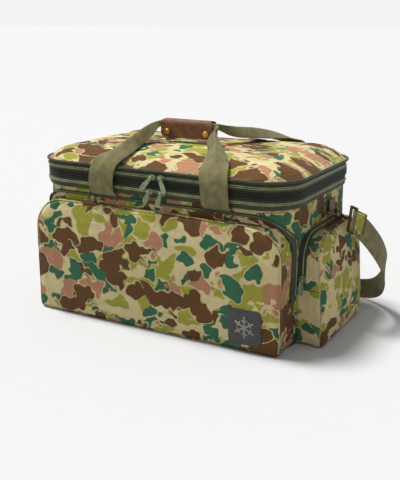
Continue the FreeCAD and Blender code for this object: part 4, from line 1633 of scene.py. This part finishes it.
@dataclass
class FrontPocket:
    """The front pocket with its seams and badge."""

    edge: float = 6.0
    slope: float = 12.0

    def build(self) -> FrontPouch:
        """Makes the pouch, and sews on the seams and the badge.

        Returns:
            The pouch.
        """
        edge = self.edge
        panel = RoundedPanel(243.3 - edge, 224.8 - edge - 6.0 - self.slope, 4.0, 58.0 - edge, 6.0)
        pouch = FrontPouch("front_pouch", panel, edge, shift=np.array([35.0, 120.0, 60.0]), cap=4.0,
                           flare=self.slope)
        piece = pouch.build()
        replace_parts(piece, "front_pocket_lower", "front_pocket_flap")
        stitches = pouch.topstitch("front_pouch_stitches", (4, 5))
        welt = pouch.welt("front_pouch_welt", 2, 0.9)
        seam = pouch.cross_seam("front_pouch_gusset_seams", 80.0)
        for part in (piece, stitches, welt, seam):
            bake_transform(part)
        self.badge(corners_of(piece), panel)
        return pouch

    def badge(self, cloth: Array, panel: RoundedPanel) -> None:
        """A rounded vinyl badge that follows the cloth, with a plain six-armed flake.

        Args:
            cloth: The pouch's points, to lie on.
            panel: The grid that the first of them were made from.
        """
        flat_grid = panel.grid()
        rows, columns = flat_grid.shape[:2]
        deep = cloth[:rows * columns, 1].reshape(rows, columns)
        heights, widths = flat_grid[:, 0, 1] + self.edge, flat_grid[rows // 2, :, 0]

        def lie(x: Array, z: Array, lift: float) -> Array:
            """Places at x and z on the cloth, its depth read between the four grid points round each."""
            column = np.interp(x.ravel(), widths, np.arange(columns))
            row = np.interp(z.ravel(), heights, np.arange(rows))
            c, r = column.astype(int), row.astype(int)
            u, v = column - c, row - r
            level = ((deep[r, c] * (1 - u) + deep[r, c + 1] * u) * (1 - v)
                     + (deep[r + 1, c] * (1 - u) + deep[r + 1, c + 1] * u) * v)
            return np.stack([x.ravel(), level - lift, z.ravel()], 1)

        shape = RoundedPanel(29.0, 62.0, 7.0, 7.0, 3.0)
        flat = shape.grid()
        piece = put_mesh("pocket_badge_patch", lie(flat[..., 0] + 186, flat[..., 1] + 14, 1.3), [grid_faces(*flat.shape[:2])],
                         np.array([186, -100.0, 45]))
        thicken(piece, 1.0)
        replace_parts(VINYL.dress(piece), "pocket_badge")
        runs, faces, count = [], [], 0
        bars = [(0.0, 0.0, 19.0, turn, 1.5) for turn in range(0, 180, 60)]
        bars += [(11.5, 0.0, 5.2, turn, 1.2) for turn in range(0, 360, 60)]
        for reach, _, half, turn, thick in bars:
            a = math.radians(turn + 90)
            cx, cz = reach * math.cos(a), reach * math.sin(a)
            b = a if reach == 0 else a + math.pi / 2
            s, t = np.meshgrid(np.linspace(-half, half, 9), np.linspace(-thick, thick, 3))
            x = 186 + cx + s * math.cos(b) - t * math.sin(b)
            z = 45 + cz + s * math.sin(b) + t * math.cos(b)
            runs.append(lie(x, z, 1.9))
            faces.append(grid_faces(3, 9) + count)
            count += 27
        flake = put_mesh(
            "pocket_badge_flake", np.concatenate(runs), [np.concatenate(faces)], np.array([186, -100.0, 45])
        )
        thicken(flake, 0.6)
        FLAKE.dress(flake)
        for part in (piece, flake):
            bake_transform(part)


@dataclass
class SidePocket:
    """One of the two end pockets."""

    hand: int
    word: str
    edge: float = 5.0

    def build(self) -> None:
        """Makes the pouch and its seams."""
        edge = self.edge
        panel = RoundedPanel(100.8 - edge, 186.8 - edge - 5.0, 4.0, 40.0 - edge, 5.0)
        pouch = SidePouch(f"side_pouch_{self.word}", panel, edge, hand=self.hand, cap=4.0,
                          shift=np.array([90.0 * self.hand, 40.0, 130.0]))
        piece = pouch.build()
        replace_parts(piece, f"side_pocket_flap_{self.word}")
        stitches = pouch.topstitch(f"side_pouch_stitches_{self.word}", (4, 5))
        welt = pouch.welt(f"side_pouch_welt_{self.word}", 2, 0.8)
        seam = pouch.cross_seam(f"side_pouch_gusset_seams_{self.word}", 98.0)
        for part in (piece, stitches, welt, seam):
            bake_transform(part)
        if self.hand > 0:
            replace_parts(piece, "side_pocket_lowers")


# ---------------------------------------------------------------- handles and wrap

@dataclass(frozen=True)
class Station:
    """A place on a webbing's middle: its width direction, how far it is folded, and its gathered share of width."""

    place: tuple[float, float, float]
    across: tuple[float, float, float]
    down: tuple[float, float, float]
    fold: float = 0.0
    gather: float = 1.0


@dataclass
class Webbing:
    """A flat band that runs through stations and may fold in half along its middle."""

    name: str
    stations: list[Station]
    half: float = 25.0
    thick: float = 2.0
    pace: float = 4.0

    def build(self) -> bpy.types.Object:
        """Each half of the width turns about the crease by the fold's angle, and the layers keep apart.

        Returns:
            The piece, with the place along and across it for its weave.
        """
        table = np.array([[*s.place, *s.across, *s.down, s.fold, s.gather] for s in self.stations], float)
        length = np.linalg.norm(np.diff(table[:, :3], axis=0), axis=1).sum()
        line = smooth_line(table, int(length / self.pace))
        place, fold = line[:, :3], np.radians(np.clip(line[:, 9], 0, 86))[:, None, None]
        across = unit(line[:, 3:6])
        ahead = unit(np.gradient(place, axis=0))
        across = unit(across - ahead * (across * ahead).sum(1, keepdims=True))
        down = line[:, 6:9] - ahead * (line[:, 6:9] * ahead).sum(1, keepdims=True)
        flat = unit(np.cross(ahead, across))
        flat *= np.sign((flat * down).sum(1, keepdims=True) + 1e-9)
        w = np.linspace(-1, 1, 17) * (self.half - 0.3)
        drawn = line[:, 10:11]
        width = (w[None] * drawn)[..., None]
        bend = np.sqrt(width**2 + 9.0) - 3.0
        spread = across[:, None] * np.cos(fold) * width + flat[:, None] * np.sin(fold) * bend
        centre = place[:, None] - flat[:, None] * (np.sin(fold) * self.half * 0.5 * drawn[:, None])
        middle = centre + spread
        tilt = np.gradient(middle, axis=1)
        normal = unit(np.cross(ahead[:, None], tilt))
        layers = normal * self.thick / 2
        grid = np.concatenate([middle + layers, (middle - layers)[:, ::-1]], 1)
        piece = outward(tube_piece(self.name, grid))
        run = np.concatenate([[0], np.cumsum(np.linalg.norm(np.diff(place, axis=0), axis=1))])
        both = np.concatenate([w, w[::-1]])
        weave = np.stack(np.broadcast_arrays(run[:, None], both[None], np.zeros((1, 1))), -1)
        tag(piece, Place.WEAVE.value, weave.reshape(-1, 3))
        bevel = piece.modifiers.new("edge", "BEVEL")
        bevel.width, bevel.segments, bevel.limit_method = 0.5 * MM, 2, "ANGLE"
        return WEBBING.dress(piece)


@dataclass
class Handles:
    """Two webbing handles, gathered by a leather wrap over the middle of the lid."""

    middle: float = 16.0
    spread: float = 110.0
    wrap_middle: float = 1.0
    wrap_half: float = 52.5

    def leg(self, side: int, front: bool) -> list[Station]:
        """The stations of one leg, from its foot to the wrap.

        Args:
            side: Which side the leg is on.
            front: Which handle it belongs to.

        Returns:
            The stations, in order.
        """
        mid = self.middle + side * self.spread
        end = self.wrap_middle + side * (self.wrap_half + 3.6)
        near = mid + (end - mid) * 0.55
        down = (0.0, 0.0, -1.0)
        flat = (1.0, 0.0, 0.0)
        hand = side if front else -side
        if front:
            rows = [((mid, -161.2, 229.5), flat, 0), ((mid, -169.5, 238), flat, 0), ((mid, -172, 248), flat, 0),
                    ((mid - side * 1, -172.5, 266), flat, 0), ((mid - side * 5, -167.6, 285), flat, 4),
                    ((mid - side * 17, -138, 305), flat, 30), ((near, -97, 317), (0.99, hand * 0.12, 0), 56),
                    (
                        (end + side * 9, -62, 331), (0.7, hand * 0.7, 0), 66
                    ), ((end, -38.4, 340.5), (0.0, hand, 0), 85)]
        else:
            rows = [((mid, 171, 284), flat, 0), ((mid - side * 2, 160, 294), flat, 0),
                    ((mid - side * 14, 126, 309), flat, 18), ((near, 60, 322), (0.99, hand * 0.12, 0), 50),
                    (
                        (end + side * 11, 5, 330), (0.7, hand * 0.7, 0), 64
                    ), ((end, -31.6, 340.5), (0.0, hand, 0), 85)]
        drawn = [1.0] * (len(rows) - 2) + [0.85, 0.5]
        return [Station(place, across, down, fold, share) for (place, across, fold), share in zip(rows, drawn)]

    def loop(self, front: bool) -> list[Station]:
        """Left leg up, through the wrap, and down the right leg.

        Args:
            front: Which handle it is.

        Returns:
            The stations, in order.
        """
        left, right = self.leg(-1, front), self.leg(1, front)
        deep = left[-1].place[1]
        turned = [Station(s.place, tuple(-c for c in s.across), s.down, s.fold, s.gather) for s in right[::-1]]
        sense = left[-1].across
        inner = [
            Station((self.wrap_middle + x, deep, 340.5), sense, (0.0, 0.0, -1.0), 85, 0.5) for x in (-26, 26)
        ]
        return left + inner + turned

    def build(self) -> None:
        """Makes both handles, the back handle's sewn-down feet and the leather wrap."""
        front = Webbing("front_handle_band", self.loop(True)).build()
        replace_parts(front, "front_handle_webbing")
        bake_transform(front)
        back = Webbing("back_handle_band", self.loop(False)).build()
        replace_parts(back, "back_handle_webbing")
        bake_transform(back)
        self.feet()
        self.wrap()

    def feet(self) -> None:
        """The back handle's run down the wall, in two lengths that bend at the two hinges."""
        for side, word in ((-1, "left"), (1, "right")):
            mid = self.middle + side * self.spread
            flat, down = (1.0, 0.0, 0.0), (0.0, -1.0, 0.0)
            low = [
                Station((mid, y, z), flat, down) for y,
                z in ((165.4, 229.5), (165.8, 236), (168, 243), (170.6, 250), (171, 258), (171, 269))
            ]
            high = [
                Station((mid, y, z), flat, down) for y,
                z in ((171, 269), (171.2, 274), (171.4, 279), (171, 285))
            ]
            foot = Webbing(f"back_handle_foot_{word}", low, pace=1.5).build()
            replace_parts(foot, "back_handle_anchors")
            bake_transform(foot)
            run = Webbing(f"back_handle_run_{word}", high, pace=1.0).build()
            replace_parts(run, "back_handle_run")
            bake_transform(run)

    def wrap(self) -> None:
        """One leather sheet: down the back, over the top and down the front, with round corners."""
        path = np.array([(-26.9, 319.6), (-26.9, 340), (-26.9, 345.5), (-28.6, 349.4), (-32, 350.8), (-38, 350.8),
                         (-41.6, 349.4), (-43.4, 345.5), (-43.5, 340), (-43.5, 319.6)])
        line = smooth_line(np.column_stack([np.zeros(len(path)), path]), 64)
        run = np.concatenate([[0], np.cumsum(np.linalg.norm(np.diff(line, axis=0), axis=1))])
        total = run[-1]
        from_end = np.minimum(run, total - run)
        from_fold = np.abs(run - total / 2)
        lost = 9 - np.sqrt(np.clip(81 - np.clip(9 - from_end, 0, 9) ** 2, 0, 81))
        lost = lost + 6 * np.exp(-(from_fold / 7.0) ** 2)
        u = np.linspace(-1, 1, 43)
        x = self.wrap_middle + u[None] * (self.wrap_half - lost)[:, None]
        flat = np.broadcast_to(line[:, None], (64, 43, 3)).copy()
        flat[..., 0] = x
        ahead = unit(np.gradient(line, axis=0))
        out = np.stack([np.zeros(64), ahead[:, 2], -ahead[:, 1]], 1)
        sag = 0.5 * np.sin(u * 9.0)[None] * np.exp(-((from_fold - 20) / 12.0) ** 2)[:, None]
        flat += out[:, None] * sag[..., None]
        outer, inner = flat + out[:, None] * 1.1, flat - out[:, None] * 1.1
        shell = np.concatenate([outer, inner[:, ::-1]], 1)
        piece = outward(tube_piece("leather_wrap", shell))
        bevel = piece.modifiers.new("edge", "BEVEL")
        bevel.width, bevel.segments, bevel.limit_method = 0.6 * MM, 2, "ANGLE"
        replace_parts(LEATHER.dress(piece), "wrap_back", "wrap_flap")
        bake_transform(piece)


# ---------------------------------------------------------------- shoulder strap and metal

@dataclass
class PullTabs:
    """Moulded zipper pulls: a tapered tab with a raised rim and a sunken face, hung from a barrel."""

    wide: float = 10.5
    thick: float = 1.9
    barrel: float = 2.1
    long_tab: float = 27.0
    short_tab: float = 21.0
    out: float = 5.1

    def build(self) -> None:
        """One tab for each slider, placed by the slider's place, turn, tilt and lean."""
        for name, place, turn, tilt, lean, long in (
                ("top_pull_left", (8, -168.3, 271.7), 0, 38, 14, self.long_tab),
                ("top_pull_right", (25, -168.3, 271.7), 0, -32, 14, self.long_tab),
                ("main_pull_left", (3, -168.3, 246.5), 0, 22, 2, self.short_tab),
                ("main_pull_right", (27, -168.3, 246.5), 0, 18, 2, self.short_tab),
                ("front_pocket_pull", (-246, -115.5, 84), -90, 0, 2, self.long_tab),
                ("side_pull_right", (253.2, -103.4, 117), 0, 0, 2, self.long_tab),
                ("side_pull_left", (-253.2, -103.4, 117), 0, 0, 2, self.long_tab)):
            tab, faces = self.tab(long)
            bar, more = self.bar(len(tab))
            points = self.hang(np.concatenate([tab, bar]), place, turn, tilt, lean)
            piece = outward(put_mesh(name + "_tab", points, faces + more))
            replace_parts(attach(PAINT.dress(piece), name), name)

    def tab(self, long: float) -> tuple[Array, list[Array]]:
        """Rings round a narrow-topped outline, from the front's middle over the rim to the back's middle.

        Args:
            long: The tab's length.

        Returns:
            Its points and its faces.
        """
        turn = np.linspace(0, 2 * math.pi, 29)[:-1]
        middle, half = -long / 2 - 0.4, long / 2 - 0.4
        z = np.sign(np.sin(turn)) * np.abs(np.sin(turn)) ** 0.8
        taper = 0.80 - 0.20 * z
        x = np.sign(np.cos(turn)) * np.abs(np.cos(turn)) ** 0.55 * taper * self.wide / 2
        skin = self.thick / 2
        rows = [(0.05, -skin * 0.45), (0.62, -skin * 0.45), (0.74, -skin), (0.93, -skin), (1.0, -skin * 0.5),
                (1.0, skin * 0.5), (0.93, skin), (0.05, skin)]
        grid = np.stack([np.stack([x * k, np.full_like(x, y), middle + half * z * (1 - (1 - k) * self.wide / long)], 1)
                         for k, y in rows])
        return grid.reshape(-1, 3), [grid_faces(len(rows), 28, False, True), *end_caps(len(rows), 28)]

    def bar(self, first: int) -> tuple[Array, list[Array]]:
        """The barrel along X, its ends rounded off.

        Args:
            first: The number of its first corner.

        Returns:
            Its points and its faces.
        """
        turn = np.linspace(0, 2 * math.pi, 17)[:-1]
        rows = [(-2.4, 0.6), (-2.1, 1.0), (2.1, 1.0), (2.4, 0.6)]
        grid = np.stack([np.stack([np.full(16, x), self.barrel * k * np.sin(turn), self.barrel * k * np.cos(turn)], 1)
                         for x, k in rows])
        return grid.reshape(-1, 3), [
            block + first for block in (grid_faces(4, 16, False, True), *end_caps(4, 16))
        ]

    def hang(
        self, points: Array, place: tuple[float, float, float], turn: float, tilt: float, lean: float
    ) -> Array:
        """Leans the tab outwards about X, tilts it about Y on its bar, and turns it about Z to its wall.

        Args:
            points: The tab's points.
            place: Where its bar is.
            turn: The turn about Z.
            tilt: The tilt about Y.
            lean: The lean about X.

        Returns:
            The moved points.
        """
        a, b, c = (math.radians(v) for v in (-lean, tilt, turn))
        x, y, z = points.T
        y, z = y * math.cos(a) - z * math.sin(a), y * math.sin(a) + z * math.cos(a)
        x, z = x * math.cos(b) + z * math.sin(b), z * math.cos(b) - x * math.sin(b)
        y = y - self.out
        x, y = x * math.cos(c) - y * math.sin(c), x * math.sin(c) + y * math.cos(c)
        return np.stack([x, y, z], 1) + place


@dataclass
class ShoulderStrap:
    """The webbing strap: from the right loop down to the floor, behind the bag, and up to the left loop."""

    half: float = 19.0
    thick: float = 2.4
    corner: tuple[tuple[float, float, float], ...] = (
        (307, 8, 190), (318, 34, 166), (328, 66, 134), (332, 96, 100), (325, 122, 66), (306, 148, 36), (
            276, 168, 21.5
        ),
        (225, 180, 20))
    buckle: float = 71.0

    def stations(self, hand: int) -> list[Station]:
        """One side's stations: the width is upright on the floor, and leans with the drop above it.

        Args:
            hand: Which side it is, as 1 or -1.

        Returns:
            The stations, in order.
        """
        rows = []
        for number, (x, y, z) in enumerate(self.corner):
            rows.append(Station((hand * x, y, z), self.width(number, hand), (0.0, -1.0, 0.0)))
        return rows

    def width(self, number: int, hand: int) -> tuple[float, float, float]:
        """The width direction: square to the run, and in the upright plane through it.

        Args:
            number: The station's number.
            hand: Which side it is, as 1 or -1.

        Returns:
            The direction.
        """
        points = np.array(self.corner, float)
        ahead = unit(np.gradient(points, axis=0))[number]
        up = np.array([0, 0, 1.0]) - ahead * ahead[2]
        up /= np.linalg.norm(up)
        return (hand * up[0], up[1], up[2])

    def build(self) -> None:
        """Two lengths that meet in the adjuster."""
        straight = (0.0, 0.0, 1.0)
        down = (0.0, -1.0, 0.0)
        long_run = [Station((x, y, 20), straight, down) for x, y in ((120, 184), (0, 182), (-120, 186))]
        right = self.stations(1) + [
            Station((150, 183.4, 20), straight, down), Station((self.buckle, 184, 20), straight, down)
        ]
        left = [Station((self.buckle, 183.6, 20), straight, down)] + long_run[1:] + self.stations(-1)[::-1]
        for word, rows in (("right", right), ("left", left)):
            band = Webbing(f"shoulder_strap_{word}", rows, self.half, self.thick, 5.0).build()
            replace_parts(band, "shoulder_strap")
            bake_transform(band)


@dataclass
class LoopSleeve:
    """The strap's sewn end: webbing that goes round the far bar of the metal loop and back on itself."""

    start: tuple[float, float, float] = (263.5, 30.0, 199.0)
    aim: tuple[float, float, float] = (305.0, 10.0, 193.0)
    bar: float = 37.4
    long: float = 24.0
    half: float = 19.0

    def build(self) -> None:
        """A flat U of webbing for each side, with a short bound patch sewn over it."""
        for hand, word in ((1, "right"), (-1, "left")):
            start, aim = (np.array(p) * [hand, 1, 1] for p in (self.start, self.aim))
            ahead = unit(aim - start)
            up = unit(np.array([0, 0, 1.0]) - ahead * ahead[2])
            side = np.cross(ahead, up)
            bar = start + ahead * self.bar
            path = [(self.long, 2.6), (self.long / 2, 2.9), (2.0, 3.2), (-2.0, 2.4), (-3.1, 0.0), (-2.0, -2.4), (2.0, -3.2),
                    (self.long / 2, -2.9), (self.long, -2.6)]
            rows = [Station(tuple(bar + ahead * a + side * b), tuple(up), (0.01, -1.0, 0.02)) for a, b in path]
            band = Webbing(f"strap_sleeve_{word}", rows, self.half, 1.6, 1.2)
            sleeve = band.build()
            flip = unit(side) * (-1.0 if side[1] > 0 else 1.0)
            u, v = np.meshgrid(np.linspace(9.0, self.long + 1, 9), np.linspace(-self.half, self.half, 13))
            lift = 4.3 + 0.5 * np.cos(v / self.half * math.pi / 2)
            grid = bar + ahead * u[..., None] + up * v[..., None] + flip * lift[..., None]
            patch = put_mesh(f"strap_patch_{word}", grid.reshape(-1, 3), [grid_faces(13, 9)], bar)
            tag(patch, Place.CLOTH.value, grid.reshape(-1, 3) + 30.0)
            thicken(patch, 1.2)
            CANVAS.dress(patch)
            for part in (sleeve, patch):
                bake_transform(part)


HARD_NODES: dict[Finish, tuple[str, ...]] = {
    BRASS: ("snap_caps", "snap_studs"),
    DULL_BRASS: ("ring_right", "ring_left", "hook_right", "hook_left", "hook_gate_right", "hook_gate_left",
                 "strap_loop_right", "strap_loop_left"),
    PAINT: ("top_slider_left", "top_slider_right", "main_slider_left", "main_slider_right", "front_pocket_slider",
            "side_slider_right", "side_slider_left"),
    TAB_WEBBING: ("ring_tabs",),
    TAPE: (
        "pocket_zip_body_halves", "front_zip_flap_half", "side_zip_flap_half_right", "side_zip_flap_half_left"
    ),
    PLASTIC: ("strap_adjuster",),
}


# ---------------------------------------------------------------- studio

@dataclass(frozen=True)
class Studio:
    """A pale floor, a soft high light from the left, and the camera."""

    eye: tuple[float, float, float] = (0.680231, -1.219598, 0.519374)
    yaw: float = -0.5053406
    pitch: float = -0.277495
    roll: float = 0.0042136
    lens: float = 57.63
    horizon: float = 0.90
    zenith: float = 0.47

    def build(self) -> None:
        """Sets out the floor, the sky's light, the sun and the camera."""
        scene = bpy.context.scene
        scene.view_settings.view_transform = "Standard"
        floor = put_mesh("floor", np.array([(-60000, -60000, 0), (60000, -60000, 0), (60000, 60000, 0), (-60000, 60000, 0.0)]),
                         [np.array([[0, 1, 2, 3]])], np.array([0, 0, -10.0]))
        floor.data.materials.append(
            Sheeting(
                "floor_paper", "", (0.505, 0.505, 0.505), (0.515, 0.515, 0.515), 0.9, 0.004, 0.00005
            ).build()
        )
        world = bpy.data.worlds.new("sky")
        world.use_nodes = True
        sky = world.node_tree.nodes["Background"]
        sky.inputs[0].default_value = (1.0, 1.0, 1.0, 1.0)
        nodes, links = world.node_tree.nodes, world.node_tree.links
        split = nodes.new("ShaderNodeSeparateXYZ")
        links.new(nodes.new("ShaderNodeTexCoord").outputs["Generated"], split.inputs[0])
        fade = nodes.new("ShaderNodeMapRange")
        for number, value in ((1, 0.03), (2, 0.16), (3, self.horizon), (4, self.zenith)):
            fade.inputs[number].default_value = value
        links.new(split.outputs[2], fade.inputs[0])
        links.new(fade.outputs[0], sky.inputs[1])
        scene.world = world
        self.sun("key", (-0.36, -0.02, 0.93), 4.5, 14.0)
        self.camera()

    def sun(self, name: str, towards: tuple[float, float, float], power: float, width: float) -> None:
        """A broad even light from one direction.

        Args:
            name: The light's name.
            towards: Where the light is, seen from the object.
            power: Its strength.
            width: Its spread, in degrees.
        """
        lamp = bpy.data.lights.new(name, "SUN")
        lamp.energy, lamp.angle = power, math.radians(width)
        holder = bpy.data.objects.new(name, lamp)
        z = unit(np.array(towards))
        x = unit(np.cross([0, 1, 0.1], z))
        turn = np.eye(4)
        turn[:3, 0], turn[:3, 1], turn[:3, 2] = x, np.cross(z, x), z
        holder.matrix_world = Matrix(turn.tolist())
        bpy.context.scene.collection.objects.link(holder)

    def camera(self) -> None:
        """The camera, from its place, yaw, pitch and roll."""
        ahead = np.array(
            [
                math.sin(self.yaw) * math.cos(self.pitch), math.cos(self.yaw) * math.cos(self.pitch),
                math.sin(self.pitch)
            ]
        )
        right = np.array([math.cos(self.yaw), -math.sin(self.yaw), 0.0])
        up = np.cross(right, ahead)
        level, upright = (
            math.cos(self.roll) * right + math.sin(self.roll) * up,
            math.cos(self.roll) * up - math.sin(self.roll) * right
        )
        turn = np.eye(4)
        turn[:3, 0], turn[:3, 1], turn[:3, 2], turn[:3, 3] = level, upright, -ahead, self.eye
        lens = bpy.data.cameras.new("camera")
        lens.lens, lens.sensor_width, lens.clip_end = self.lens, 36.0, 100.0
        holder = bpy.data.objects.new("camera", lens)
        holder.matrix_world = Matrix(turn.tolist())
        bpy.context.scene.collection.objects.link(holder)
        bpy.context.scene.camera = holder


def main() -> None:
    """Builds the bag in order, and logs each sub-assembly."""
    logging.basicConfig(level=logging.INFO, format="%(message)s")
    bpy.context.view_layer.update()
    Studio().build()
    Body().build()
    log.info("body wall, lining and rim")
    Tray().build()
    Cover().build()
    log.info("tray and cover")
    for zipper in (RimZipper("body_zip", "bag_body", "main_zip_body_half", (240.4, 246.1), 245.2),
                   RimZipper("tray_low_zip", "tray", "main_zip_tray_half", (246.9, 252.6), 247.8),
                   RimZipper("tray_top_zip", "tray", "top_zip_tray_half", (265.6, 271.3), 270.4),
                   RimZipper("cover_zip", "cover", "top_zip_cover_half", (272.1, 277.8), 273.0)):
        zipper.build()
    BackHinge().build()
    front = FrontPocket().build()
    for hand, word in ((1, "right"), (-1, "left")):
        SidePocket(hand, word).build()
    PocketZipper().build(front)
    log.info("pockets and zippers")
    Handles().build()
    PullTabs().build()
    ShoulderStrap().build()
    LoopSleeve().build()
    log.info("handles, wrap and strap")
    for finish, nodes in HARD_NODES.items():
        for node in nodes:
            finish.dress(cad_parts[node])
    log.info("metal, plastic and sizes")


if __name__ == "__main__":
    main()
